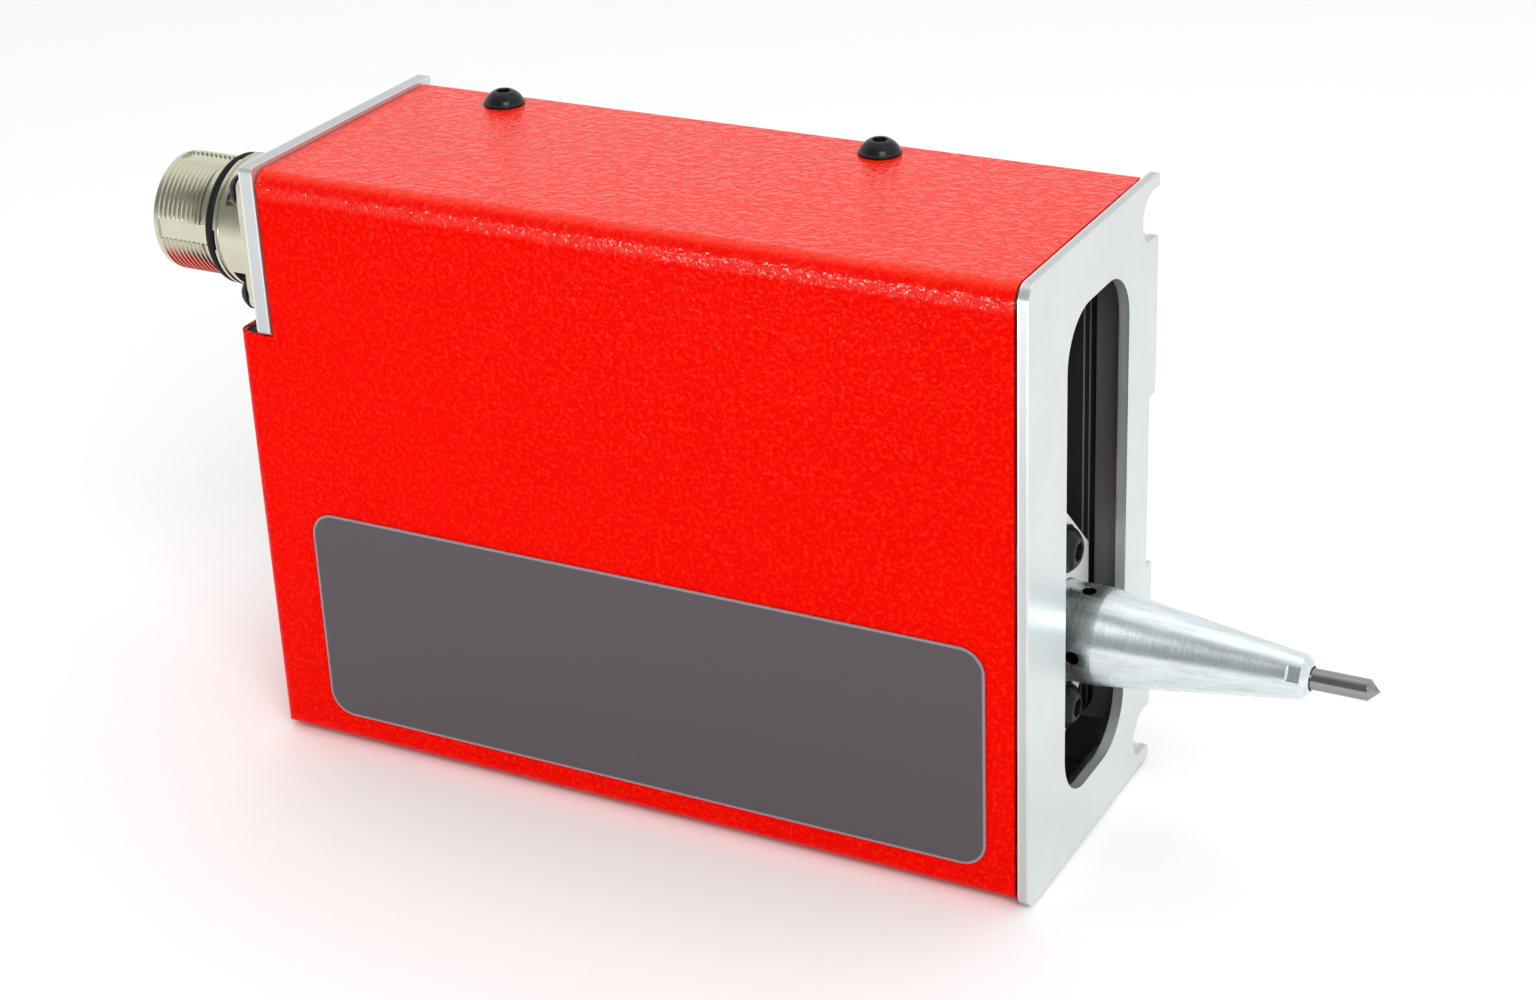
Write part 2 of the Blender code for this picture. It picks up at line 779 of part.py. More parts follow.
def make_rear_plate():
    low = COVER_STEP_HEIGHT + FIT
    high = BODY_HEIGHT + REAR_RISE
    outline = plate_outline(low, high, REAR_CORNER_RADIUS)
    plate = place("rear_plate", prism("rear_plate", outline, "X", back(REAR_FACE), back(BODY_LENGTH)), aluminium())
    behind, before = back(REAR_FACE + OVERRUN), back(BODY_LENGTH - OVERRUN)
    middle = (across(CONNECTOR_ACROSS), CONNECTOR_HEIGHT)
    cut_hole(plate, "connector_hole", CONNECTOR_NECK + FIT, "X", middle, behind, before, ROUND)
    for index, spot in enumerate(connector_screw_spots()):
        radius = FLANGE_SCREW_SHANK + FIT
        cut_hole(plate, f"connector_screw_hole_{index}", radius, "X", spot, behind, before, SMALL)
    for index in range(2):
        spot = (across(REAR_SCREW_ACROSS), REAR_SCREW_LOW + REAR_SCREW_PITCH * index)
        radius = REAR_SCREW_SHANK + FIT
        cut_hole(plate, f"rear_screw_hole_{index}", radius, "X", spot, behind, before, SMALL)


def make_crossbars():
    front, rear = back(FRONT_THICK + FIT), back(FRONT_THICK + FIT + BAR_DEPTH)
    for name, low in (("crossbar_bottom", BASE_LOW), ("crossbar_top", BASE_HIGH - BAR_HEIGHT)):
        outline = rounded_rectangle((rear, low), (front, low + BAR_HEIGHT), SHEET, 2)
        place(name, prism(name, outline, "Y", across(BAR_NEAR), across(BASE_INNER - FIT)), aluminium())


def make_housing_screws():
    mesh = socket_screw_mesh(
        "cover_screw",
        COVER_SCREW_HEAD,
        COVER_SCREW_RISE,
        COVER_SCREW_RISE / 5,
        COVER_SCREW_SHANK,
        COVER_SCREW_LENGTH,
        COVER_SCREW_HEX,
        ROUND,
    )
    for place_word, distance in (("front", COVER_SCREW_FRONT), ("rear", COVER_SCREW_REAR_BACK)):
        x, y = back(distance), across(COVER_SCREW_ACROSS)
        place(f"cover_screw_top_{place_word}", mesh, black_steel(), at=(x, y, COVER_HIGH + FIT), turn=FACING_UP)
    low = countersunk_mesh("cover_screw_bottom", 0, COVER_SCREW_LENGTH, SMALL)
    for place_word, distance in (("front", COVER_SCREW_FRONT), ("rear", COVER_SCREW_REAR_BACK)):
        at = (back(distance), across(COVER_SCREW_ACROSS), COVER_LOW)
        place(f"cover_screw_bottom_{place_word}", low, black_steel(), at=at, turn=FACING_DOWN)
    rear = socket_screw_mesh(
        "rear_plate_screw",
        REAR_SCREW_HEAD,
        COVER_SCREW_RISE,
        COVER_SCREW_RISE / 5,
        REAR_SCREW_SHANK,
        REAR_SCREW_LENGTH,
        COVER_SCREW_HEX,
        SMALL,
    )
    for index, word in enumerate(("lower", "upper")):
        spot = (
            back(REAR_FACE + FIT),
            across(REAR_SCREW_ACROSS),
            REAR_SCREW_LOW + REAR_SCREW_PITCH * index,
        )
        place(f"rear_plate_screw_{word}", rear, black_steel(), at=spot, turn=FACING_BACK)


# Connector


def connector_screw_spots():
    half = FLANGE_SCREW_PITCH / 2
    spots = []
    for side in (-1, 1):
        for level in (-1, 1):
            spots.append((across(CONNECTOR_ACROSS) + half * side, CONNECTOR_HEIGHT + half * level))
    return spots


def make_connector():
    seat = (back(REAR_FACE + FIT), across(CONNECTOR_ACROSS), CONNECTOR_HEIGHT)
    groove = CONNECTOR_BARREL - SEAL_SECTION
    reach = CONNECTOR_REACH - FIT
    buried = CONNECTOR_FLANGE_THICK / 2
    profile = [
        (0, -CONNECTOR_NECK_LENGTH),
        (CONNECTOR_NECK, -CONNECTOR_NECK_LENGTH),
        (CONNECTOR_NECK, buried),
        (CONNECTOR_COLLAR, buried),
        (CONNECTOR_COLLAR, CONNECTOR_COLLAR_END),
        (groove, CONNECTOR_COLLAR_END),
        (groove, CONNECTOR_BARREL_START),
        (CONNECTOR_BARREL, CONNECTOR_BARREL_START),
        (CONNECTOR_BARREL, reach - CONNECTOR_CHAMFER),
        (CONNECTOR_BARREL - CONNECTOR_CHAMFER, reach),
        (0, reach),
    ]
    shell = place("connector_shell", turned("connector_shell", profile, FINE), nickel(), at=seat, turn=FACING_BACK)
    pocket_end = back(REAR_FACE + FIT + CONNECTOR_POCKET_END)
    for index, spot in enumerate(connector_screw_spots()):
        radius = FLANGE_SCREW_HEAD + FIT
        cut_hole(shell, f"collar_pocket_{index}", radius, "X", spot, pocket_end, back(REAR_FACE - OVERRUN), ROUND)
    half = CONNECTOR_FLANGE / 2
    middle = (across(CONNECTOR_ACROSS), CONNECTOR_HEIGHT)
    square = rounded_rectangle(
        (middle[0] - half, middle[1] - half), (middle[0] + half, middle[1] + half), CONNECTOR_FLANGE_CORNER, 3
    )
    flange_back, flange_front = back(REAR_FACE + FIT + CONNECTOR_FLANGE_THICK), back(REAR_FACE + FIT)
    join(shell, "connector_flange", prism("connector_flange", square, "X", flange_back, flange_front))
    bore = [
        (0, -CONNECTOR_NECK_LENGTH - OVERRUN),
        (CONNECTOR_NECK_BORE, -CONNECTOR_NECK_LENGTH - OVERRUN),
        (CONNECTOR_NECK_BORE, CONNECTOR_BORE_FLOOR),
        (CONNECTOR_BORE, CONNECTOR_BORE_FLOOR),
        (CONNECTOR_BORE, reach + OVERRUN),
        (0, reach + OVERRUN),
    ]
    hollow = turned("connector_bore", bore, FINE)
    hollow.transform(Matrix.Translation(seat) @ Matrix.Rotation(FACING_BACK[1], 4, "Y"))
    cut(shell, "connector_bore", hollow)
    bore_rear = flange_back - OVERRUN
    for index, spot in enumerate(connector_screw_spots()):
        radius = FLANGE_SCREW_SHANK + FIT
        cut_hole(shell, f"flange_hole_{index}", radius, "X", spot, bore_rear, flange_front + OVERRUN, SMALL)
    rear_end = back(REAR_FACE + CONNECTOR_REACH + OVERRUN)
    barrel_start = back(REAR_FACE + (CONNECTOR_COLLAR_END + CONNECTOR_BARREL_START) / 2)
    depth = CONNECTOR_BARREL - CONNECTOR_FLAT_DEPTH
    beyond = CONNECTOR_BARREL + OVERRUN
    for index in range(4):
        flat = prism("connector_flat", rectangle((depth, -beyond), (beyond, beyond)), "Z", rear_end, barrel_start)
        turn = Matrix.Rotation(math.pi / 2 * index, 4, "Z")
        lay = Matrix(((0, 0, 1, 0), (1, 0, 0, middle[0]), (0, 1, 0, middle[1]), (0, 0, 0, 1)))
        flat.transform(lay @ turn)
        cut(shell, f"connector_flat_{index}", flat)
    make_connector_inside(seat, groove)
    screw = socket_screw_mesh(
        "connector_screw",
        FLANGE_SCREW_HEAD,
        FLANGE_SCREW_RISE,
        FLANGE_SCREW_RISE / 5,
        FLANGE_SCREW_SHANK,
        FLANGE_SCREW_LENGTH,
        FLANGE_SCREW_HEX,
        SMALL,
    )
    for index, spot in enumerate(connector_screw_spots()):
        at = (flange_back - FIT, spot[0], spot[1])
        place(f"connector_screw_{index + 1}", screw, black_steel(), at=at, turn=FACING_BACK)


def make_connector_inside(seat, groove):
    ring = arc((groove + FIT + SEAL_SECTION, (CONNECTOR_COLLAR_END + CONNECTOR_BARREL_START) / 2), SEAL_SECTION, 0,
               0.9, 9)
    place("connector_seal", turned("connector_seal", ring, ROUND, closed=True), rubber(), at=seat, turn=FACING_BACK)
    radius = CONNECTOR_BORE - FIT
    profile = [(0, CONNECTOR_BORE_FLOOR + FIT), (radius, CONNECTOR_BORE_FLOOR + FIT), (radius, INSERT_FACE),
               (0, INSERT_FACE)]
    insert = place("connector_insert", turned("connector_insert", profile, ROUND), black_plastic(), at=seat,
                   turn=FACING_BACK)
    rings = [(PIN_RING, PIN_COUNT), (PIN_INNER_RING, PIN_INNER_COUNT)]
    for ring_index, (ring_radius, count) in enumerate(rings):
        for index in range(count):
            angle = 2 * math.pi * index / count
            middle = (
                across(CONNECTOR_ACROSS) + ring_radius * math.cos(angle),
                CONNECTOR_HEIGHT + ring_radius * math.sin(angle),
            )
            outline = arc(middle, PIN_RADIUS, 0, 0.875, 7)
            start = seat[0] - INSERT_FACE + PIN_RADIUS
            end = seat[0] - INSERT_FACE - PIN_LENGTH
            name = f"contact_pin_{ring_index}_{index}"
            join(insert, name, prism(name, outline, "X", start, end))


# Marking head


def head_spot(distance):
    return (back(distance), across(HEAD_ACROSS), HEAD_HEIGHT)


def make_nozzle(carrier):
    collar_front = -BLOCK_FRONT
    collar_rear = collar_front - NOZZLE_COLLAR_THICK
    mouth_bore = STYLUS_RADIUS + FIT
    bush_bore = BUSH_RADIUS + FIT
    profile = [
        (NOZZLE_BORE, collar_rear),
        (NOZZLE_COLLAR, collar_rear),
        (NOZZLE_COLLAR, collar_front),
        (NOZZLE_RADIUS, collar_front),
        (NOZZLE_RADIUS, NOZZLE_BAND_END),
        (NOZZLE_TIP_RADIUS, NOZZLE_REACH - NOZZLE_TIP_CHAMFER),
        (NOZZLE_MOUTH_RADIUS, NOZZLE_REACH),
        (mouth_bore, NOZZLE_REACH),
        (mouth_bore, NOZZLE_REACH - NOZZLE_FRONT_WALL),
        (bush_bore, NOZZLE_REACH - NOZZLE_FRONT_WALL),
        (bush_bore, NOZZLE_SPRING_STEP),
        (NOZZLE_BORE, NOZZLE_SPRING_STEP),
    ]
    nozzle = place("nozzle", turned("nozzle", profile, FINE, closed=True), turned_aluminium(), carrier,
                   head_spot(0), FACING_FRONT)
    hole = prism("nozzle_hole", arc((0, 0), NOZZLE_HOLE_RADIUS, 0, 0.9, 9), "Z", 0, NOZZLE_RADIUS + OVERRUN)
    for index in range(4):
        lean = Matrix.Rotation(math.pi / 2 * index, 4, "X")
        spot = Matrix.Translation(head_spot(NOZZLE_HOLE_BACK))
        drill = hole.copy()
        drill.transform(spot @ lean)
        cut(nozzle, f"nozzle_hole_{index}", drill)
    for index, side in enumerate((-1, 1)):
        inner = across(HEAD_ACROSS) + side * NOZZLE_FLAT_SPAN / 2
        outer = across(HEAD_ACROSS) + side * NOZZLE_RADIUS
        flat_rear = back(NOZZLE_TIP_CHAMFER - NOZZLE_REACH + NOZZLE_FLAT_LENGTH)
        flat_front = back(NOZZLE_TIP_CHAMFER - NOZZLE_REACH - OVERRUN)
        low, high = HEAD_HEIGHT - NOZZLE_TIP_RADIUS, HEAD_HEIGHT + NOZZLE_TIP_RADIUS
        outline = rectangle((min(inner, outer), low), (max(inner, outer), high))
        cut(nozzle, f"nozzle_flat_{index}", prism("nozzle_flat", outline, "X", flat_rear, flat_front))
    bush = [
        (STYLUS_RADIUS + FIT, NOZZLE_SPRING_STEP + FIT),
        (BUSH_RADIUS, NOZZLE_SPRING_STEP + FIT),
        (BUSH_RADIUS, NOZZLE_SPRING_STEP + BUSH_LENGTH),
        (STYLUS_RADIUS + FIT, NOZZLE_SPRING_STEP + BUSH_LENGTH),
    ]
    place("guide_bush", turned("guide_bush", bush, ROUND, closed=True), brass(), carrier, head_spot(0), FACING_FRONT)


def make_flange_plate(carrier):
    half_width, half_height = FLANGE_WIDTH / 2, FLANGE_HEIGHT / 2
    middle = (across(HEAD_ACROSS), HEAD_HEIGHT)
    outline = chamfered_rectangle(
        (middle[0] - half_width, middle[1] - half_height),
        (middle[0] + half_width, middle[1] + half_height),
        FLANGE_CHAMFER,
    )
    rear, front = back(FLANGE_FRONT + FLANGE_THICK), back(FLANGE_FRONT)
    plate = place("flange_plate", prism("flange_plate", outline, "X", rear, front), aluminium(), carrier)
    cut_hole(plate, "flange_nozzle_hole", NOZZLE_RADIUS + FIT, "X", middle, rear - OVERRUN, front + OVERRUN, FINE)
    screw = socket_screw_mesh(
        "flange_screw",
        HEAD_SCREW_HEAD,
        HEAD_SCREW_RISE,
        HEAD_SCREW_RISE / 6,
        HEAD_SCREW_SHANK,
        HEAD_SCREW_LENGTH,
        HEAD_SCREW_HEX,
        ROUND,
    )
    for word, side in (("lower", -1), ("upper", 1)):
        height = HEAD_HEIGHT + side * HEAD_SCREW_PITCH / 2
        spot = (middle[0], height)
        radius = HEAD_SCREW_SHANK + FIT
        cut_hole(plate, f"flange_hole_{word}", radius, "X", spot, rear - OVERRUN, front + OVERRUN, SMALL)
        at = (front + FIT, middle[0], height)
        place(f"flange_screw_{word}", screw, black_steel(), carrier, at, FACING_FRONT)


def make_head_block(carrier):
    half_width, half_height = FLANGE_WIDTH / 2, BLOCK_HEIGHT / 2
    middle = (across(HEAD_ACROSS), HEAD_HEIGHT)
    outline = rounded_rectangle(
        (middle[0] - half_width, middle[1] - half_height),
        (middle[0] + half_width, middle[1] + half_height),
        BLOCK_CORNER,
        2,
    )
    rear, front = back(BLOCK_BACK), back(BLOCK_FRONT)
    block = place("head_block", prism("head_block", outline, "X", rear, front), aluminium(), carrier)
    cut_hole(block, "block_bore", BLOCK_BORE, "X", middle, rear - OVERRUN, front + OVERRUN, ROUND)
    for index, side in enumerate((-1, 1)):
        spot = (middle[0], HEAD_HEIGHT + side * HEAD_SCREW_PITCH / 2)
        depth = back(FLANGE_FRONT + HEAD_SCREW_LENGTH + FIT)
        cut_hole(block, f"block_hole_{index}", HEAD_SCREW_SHANK + FIT, "X", spot, depth, front + OVERRUN, SMALL)


def make_magnet(carrier):
    pole_front = -(BLOCK_FRONT + NOZZLE_COLLAR_THICK + FIT)
    pole_rear = pole_front - POLE_THICK
    bore = PLUNGER_RADIUS + FIT
    outer = BLOCK_BORE - FIT
    pole = [(bore, pole_rear), (outer, pole_rear), (outer, pole_front), (bore, pole_front)]
    spot = head_spot(0)
    place("pole_ring", turned("pole_ring", pole, ROUND, closed=True), steel(), carrier, spot, FACING_FRONT)
    front = pole_rear - FIT
    rear = front - BOBBIN_LENGTH
    spool = [
        (bore, rear),
        (outer, rear),
        (outer, rear + BOBBIN_CHEEK),
        (BOBBIN_CORE, rear + BOBBIN_CHEEK),
        (BOBBIN_CORE, front - BOBBIN_CHEEK),
        (outer, front - BOBBIN_CHEEK),
        (outer, front),
        (bore, front),
    ]
    place("coil_bobbin", turned("coil_bobbin", spool, ROUND, closed=True), black_plastic(), carrier, spot,
          FACING_FRONT)
    winding_rear, winding_front = rear + BOBBIN_CHEEK + FIT, front - BOBBIN_CHEEK - FIT
    inner = BOBBIN_CORE + FIT
    wound = [
        (inner, winding_rear),
        (WINDING_RADIUS, winding_rear),
        (WINDING_RADIUS, winding_front),
        (inner, winding_front),
    ]
    place("coil_winding", turned("coil_winding", wound, ROUND, closed=True), copper(), carrier, spot, FACING_FRONT)


def make_striker(striker):
    spot = head_spot(0)
    front, rear = -PLUNGER_FRONT, -PLUNGER_FRONT - PLUNGER_LENGTH
    socket = STYLUS_RADIUS + FIT
    plunger = [
        (0, rear),
        (PLUNGER_RADIUS, rear),
        (PLUNGER_RADIUS, front),
        (socket, front),
        (socket, front - STYLUS_SOCKET),
        (0, front - STYLUS_SOCKET),
    ]
    place("plunger", turned("plunger", plunger, ROUND), steel(), striker, spot, FACING_FRONT)
    stylus = [
        (0, front - STYLUS_SOCKET + FIT),
        (STYLUS_RADIUS, front - STYLUS_SOCKET + FIT),
        (STYLUS_RADIUS, STYLUS_REACH - STYLUS_POINT),
        (0, STYLUS_REACH),
    ]
    place("stylus", turned("stylus", stylus, ROUND), carbide(), striker, spot, FACING_FRONT)


def make_return_spring(carrier):
    """One unbroken wire helix from the plunger's face to the step in the nozzle."""
    start = -PLUNGER_FRONT + FIT + SPRING_WIRE
    end = NOZZLE_SPRING_STEP - FIT - SPRING_WIRE
    count = SPRING_TURNS * SPRING_POINTS_PER_TURN
    middle = Vector(head_spot(0))
    points = []
    for index in range(count + 1):
        angle = 2 * math.pi * index / SPRING_POINTS_PER_TURN
        lift = start + (end - start) * index / count
        points.append(middle + Vector((lift, SPRING_RADIUS * math.cos(angle), SPRING_RADIUS * math.sin(angle))))
    curve = bpy.data.curves.new("return_spring", "CURVE")
    curve.dimensions = "3D"
    curve.bevel_depth = SPRING_WIRE
    curve.bevel_resolution = 1
    curve.use_fill_caps = True
    spline = curve.splines.new("POLY")
    spline.points.add(count)
    for point, spot in zip(spline.points, points):
        point.co = (*spot, 1)
    curve.materials.append(steel())
    made = bpy.data.objects.new("return_spring", curve)
    bpy.context.scene.collection.objects.link(made)
    made.parent = carrier
    made.matrix_parent_inverse = carrier.matrix_world.inverted()
    gap = least_gap(points, SPRING_POINTS_PER_TURN // 2, 2 * SPRING_WIRE)
    print(f"return_spring: least gap between turns {gap * 1000:.2f} mm")


def least_gap(points, apart, thickness):
    """The least clear distance between parts of a wire that lie at least so many points apart."""
    least = math.inf
    for first in range(len(points)):
        for second in range(first + apart, len(points)):
            least = min(least, (points[first] - points[second]).length)
    return least - thickness


# Cross axis


def make_y_slide_plate(carrier):
    front = back(BLOCK_BACK + FIT)
    rear = front - Y_PLATE_THICK
    half_width, half_height = FLANGE_WIDTH / 2, Y_PLATE_HEIGHT / 2
    middle = (across(HEAD_ACROSS), HEAD_HEIGHT)
    outline = rounded_rectangle(
        (middle[0] - half_width, middle[1] - half_height),
        (middle[0] + half_width, middle[1] + half_height),
        BLOCK_CORNER,
        2,
    )
    plate = place("y_slide_plate", prism("y_slide_plate", outline, "X", rear, front), aluminium(), carrier)
    near, far = across(ARM_ACROSS - ARM_WIDTH / 2), across(ARM_ACROSS + ARM_WIDTH / 2)
    low, high = ARM_MIDDLE - ARM_HEIGHT / 2, ARM_MIDDLE + ARM_HEIGHT / 2
    arm_end = back(Y_MOTOR_BACK + ARM_HEIGHT / 2)
    arm = rectangle((near, low), (far, high))
    join(plate, "y_arm", prism("y_arm", arm, "X", arm_end, rear + Y_PLATE_THICK / 2))
    trip_low = HEAD_HEIGHT + SWITCH_LIFT + SWITCH_HEIGHT / 3
    trip = rectangle(
        (across(TRIP_ACROSS), trip_low),
        (across(TRIP_ACROSS + TRIP_THICK), trip_low + SWITCH_HEIGHT / 3),
    )
    trip_end = back(WALL_BACK - SWITCH_DEPTH / 2)
    join(plate, "y_trip", prism("y_trip", trip, "X", trip_end, rear + Y_PLATE_THICK / 2))
    spot = (back(Y_MOTOR_BACK), ARM_MIDDLE)
    cut_hole(plate, "y_arm_hole", Y_NUT_RADIUS + FIT, "Y", spot, near - OVERRUN, far + OVERRUN, SMALL)
    nut = [
        (Y_SCREW_RADIUS + FIT, 0),
        (Y_NUT_RADIUS, 0),
        (Y_NUT_RADIUS, ARM_WIDTH),
        (Y_SCREW_RADIUS + FIT, ARM_WIDTH),
    ]
    at = (back(Y_MOTOR_BACK), near, ARM_MIDDLE)
    place("y_nut", turned("y_nut", nut, SMALL, closed=True), brass(), carrier, at, FACING_FAR)


def channel_outline(half_width, near, far, slot_half, slot_top):
    """A block's section with an open channel on its far side."""
    return [
        (half_width, near),
        (half_width, far),
        (slot_half, far),
        (slot_half, slot_top),
        (-slot_half, slot_top),
        (-slot_half, far),
        (-half_width, far),
        (-half_width, near),
    ]


def rail_outline(half_width, near, far):
    """A guide rail's section with a track along each side."""
    waist_low = near + (far - near) / 3
    waist_high = near + (far - near) * 2 / 3
    track = half_width - RAIL_WAIST
    return [
        (half_width, near),
        (half_width, waist_low),
        (track, (near + far) / 2),
        (half_width, waist_high),
        (half_width, far),
        (-half_width, far),
        (-half_width, waist_high),
        (-track, (near + far) / 2),
        (-half_width, waist_low),
        (-half_width, near),
    ]


def make_y_guide(bracket_body, slide_body):
    """The rail lies on the bracket's wall and the carriage under the slide plate."""
    middle = HEAD_HEIGHT + Y_RAIL_LIFT
    foot = back(WALL_BACK - FIT)
    top = foot + Y_RAIL_RISE
    outline = [(place_x, middle + side) for side, place_x in rail_outline(Y_RAIL_WIDTH / 2, top, foot)]
    near, far = across(Y_RAIL_NEAR), across(Y_RAIL_NEAR + Y_RAIL_LENGTH)
    place("y_rail", prism("y_rail", outline, "Y", near, far), steel(), bracket_body)
    face = back(BLOCK_BACK + FIT + Y_PLATE_THICK + FIT)
    outline = [
        (place_x, middle + side)
        for side, place_x in channel_outline(
            Y_CARRIAGE_WIDTH / 2, face, face - Y_CARRIAGE_RISE, Y_RAIL_WIDTH / 2 + FIT, top + FIT
        )
    ]
    near = across(Y_CARRIAGE_ACROSS - Y_CARRIAGE_LENGTH / 2)
    far = across(Y_CARRIAGE_ACROSS + Y_CARRIAGE_LENGTH / 2)
    place("y_carriage", prism("y_carriage", outline, "Y", near, far), steel(), slide_body)


def stepped_motor(name, middle, size, levels, axis, material, parent):
    """A square motor with cut corners, whose middle stack is a little smaller than its end caps."""
    half = size / 2
    corner_share = 0.14
    body = None
    for index, (start, end, inset) in enumerate(levels):
        reach = half - inset
        outline = chamfered_rectangle(
            (middle[0] - reach, middle[1] - reach), (middle[0] + reach, middle[1] + reach), size * corner_share
        )
        if body is None:
            body = place(name, prism(name, outline, axis, start, end), material, parent)
        else:
            join(body, f"{name}_stage_{index}", prism(f"{name}_stage_{index}", outline, axis, start, end))
    return body


def make_y_drive(bracket_body, screw_body):
    middle = (back(Y_MOTOR_BACK), ARM_MIDDLE)
    start, end = across(Y_MOTOR_NEAR), across(Y_MOTOR_NEAR + Y_MOTOR_LENGTH)
    cap = Y_MOTOR_LENGTH / 4
    levels = [
        (start + cap - FIT, end - cap + FIT, MOTOR_STACK_INSET),
        (start, start + cap, 0),
        (end - cap, end, 0),
    ]
    motor = stepped_motor("y_motor", middle, Y_MOTOR_SIZE, levels, "Y", black_steel(), bracket_body)
    cut_hole(motor, "y_motor_hole", Y_SCREW_RADIUS + FIT, "Y", middle, end - Y_SCREW_SOCKET - FIT, end + OVERRUN,
             SMALL)
    first = end - Y_SCREW_SOCKET
    length = across(Y_SCREW_END) - first
    profile = [
        (0, 0),
        (Y_SCREW_RADIUS, 0),
        (Y_SCREW_RADIUS, length - Y_SCREW_RADIUS / 4),
        (Y_SCREW_RADIUS * 3 / 4, length),
        (0, length),
    ]
    place("y_screw", turned("y_screw", profile, ROUND), steel(), screw_body, (middle[0], first, middle[1]),
          FACING_FAR)
    low = HEAD_HEIGHT + SWITCH_LIFT
    outline = rectangle((back(WALL_BACK - FIT), low), (back(WALL_BACK - FIT - SWITCH_DEPTH), low + SWITCH_HEIGHT))
    far = across(Y_RAIL_NEAR + Y_RAIL_LENGTH)
    switch = place("y_home_switch", prism("y_home_switch", outline, "Y", far - SWITCH_WIDTH, far), black_plastic(),
                   bracket_body)
    button = rectangle(
        (back(WALL_BACK - SWITCH_DEPTH / 2), low + SWITCH_HEIGHT / 3),
        (back(WALL_BACK - FIT - SWITCH_DEPTH * 3 / 4), low + SWITCH_HEIGHT * 2 / 3),
    )
    join(switch, "y_switch_button",
         prism("y_switch_button", button, "Y", far - SWITCH_WIDTH - SWITCH_BUTTON, far - SWITCH_WIDTH / 2))


# Vertical axis


def make_z_bracket(carrier):
    """A moving angle: a leg on the guide's block, a wall for the cross guide, and an ear for its motor."""
    low, high = HEAD_HEIGHT - WALL_DROP, HEAD_HEIGHT + LEG_RISE
    near, far = across(LEG_NEAR), across(LEG_FAR)
    leg = rounded_rectangle((back(LEG_REAR), low), (back(WALL_BACK), high), BLOCK_CORNER, 2)
    bracket = place("z_slide_bracket", prism("z_slide_bracket", leg, "Y", near, far), aluminium(), carrier)
    wall = rounded_rectangle(
        (across(WALL_NEAR), low), (far, HEAD_HEIGHT + WALL_TOP_RISE), BLOCK_CORNER, 2
    )
    join(bracket, "bracket_wall", prism("bracket_wall", wall, "X", back(WALL_REAR), back(WALL_BACK)))
    ear_low = ARM_MIDDLE - Y_MOTOR_SIZE / 2
    ear_rear = back(Y_MOTOR_BACK + Y_MOTOR_SIZE / 2)
    ear = rectangle((ear_rear, ear_low), (back(WALL_REAR - WALL_THICK / 2), high))
    join(bracket, "bracket_ear", prism("bracket_ear", ear, "Y", across(EAR_NEAR), across(EAR_NEAR + EAR_THICK)))
    spot = (back(Y_MOTOR_BACK), ARM_MIDDLE)
    cut_hole(bracket, "bracket_ear_hole", Y_NUT_RADIUS, "Y", spot, across(EAR_NEAR - OVERRUN),
             across(EAR_NEAR + EAR_THICK + OVERRUN), SMALL)
    block_low = HEAD_HEIGHT - NUT_BLOCK_DROP
    block_rear = back(Z_SCREW_BACK + NUT_BLOCK_REACH)
    block_front = back(LEG_REAR - WALL_THICK)
    block = rounded_rectangle((block_rear, far - NUT_BLOCK_DEPTH), (block_front, far - FIT), BLOCK_CORNER, 2)
    block_high = block_low + NUT_BLOCK_HEIGHT
    join(bracket, "bracket_nut_block", prism("bracket_nut_block", block, "Z", block_low, block_high))
    spot = (back(Z_SCREW_BACK), across(Z_SCREW_ACROSS))
    cut_hole(bracket, "bracket_nut_hole", Z_NUT_RADIUS + FIT, "Z", spot, block_low - OVERRUN, block_high + OVERRUN,
             ROUND)
    nut = [
        (Z_SCREW_RADIUS + FIT, 0),
        (Z_NUT_RADIUS, 0),
        (Z_NUT_RADIUS, NUT_BLOCK_HEIGHT),
        (Z_NUT_FLANGE, NUT_BLOCK_HEIGHT),
        (Z_NUT_FLANGE, NUT_BLOCK_HEIGHT + Z_NUT_FLANGE_THICK),
        (Z_SCREW_RADIUS + FIT, NUT_BLOCK_HEIGHT + Z_NUT_FLANGE_THICK),
    ]
    at = (*spot, block_low + FIT)
    place("z_nut", turned("z_nut", nut, ROUND, closed=True), brass(), carrier, at)


def make_z_guide(carrier):
    middle = back(Z_RAIL_BACK)
    foot = across(POCKET_FLOOR - FIT)
    top = across(Z_RAIL_TOP)
    outline = [(middle + side, y) for side, y in rail_outline(Z_RAIL_WIDTH / 2, top, foot)]
    low, high = WINDOW_LOW + Z_RAIL_END_GAP, WINDOW_HIGH - Z_RAIL_END_GAP
    place("z_rail", prism("z_rail", outline, "Z", low, high), steel())
    face = across(Z_CARRIAGE_FACE)
    outline = [
        (middle + side, y)
        for side, y in channel_outline(
            Z_CARRIAGE_WIDTH / 2, face, face + Z_CARRIAGE_RISE, Z_RAIL_WIDTH / 2 + FIT, top - FIT
        )
    ]
    centre = HEAD_HEIGHT - Z_CARRIAGE_DROP
    low, high = centre - Z_CARRIAGE_LENGTH / 2, centre + Z_CARRIAGE_LENGTH / 2
    place("z_carriage", prism("z_carriage", outline, "Z", low, high), steel(), carrier)


def bearing_mesh(name, bore):
    """A ball bearing's outer form."""
    edge = BEARING_WIDTH / 10
    profile = [
        (bore, 0),
        (BEARING_RADIUS - edge, 0),
        (BEARING_RADIUS, edge),
        (BEARING_RADIUS, BEARING_WIDTH - edge),
        (BEARING_RADIUS - edge, BEARING_WIDTH),
        (bore, BEARING_WIDTH),
    ]
    return turned(name, profile, ROUND, closed=True)


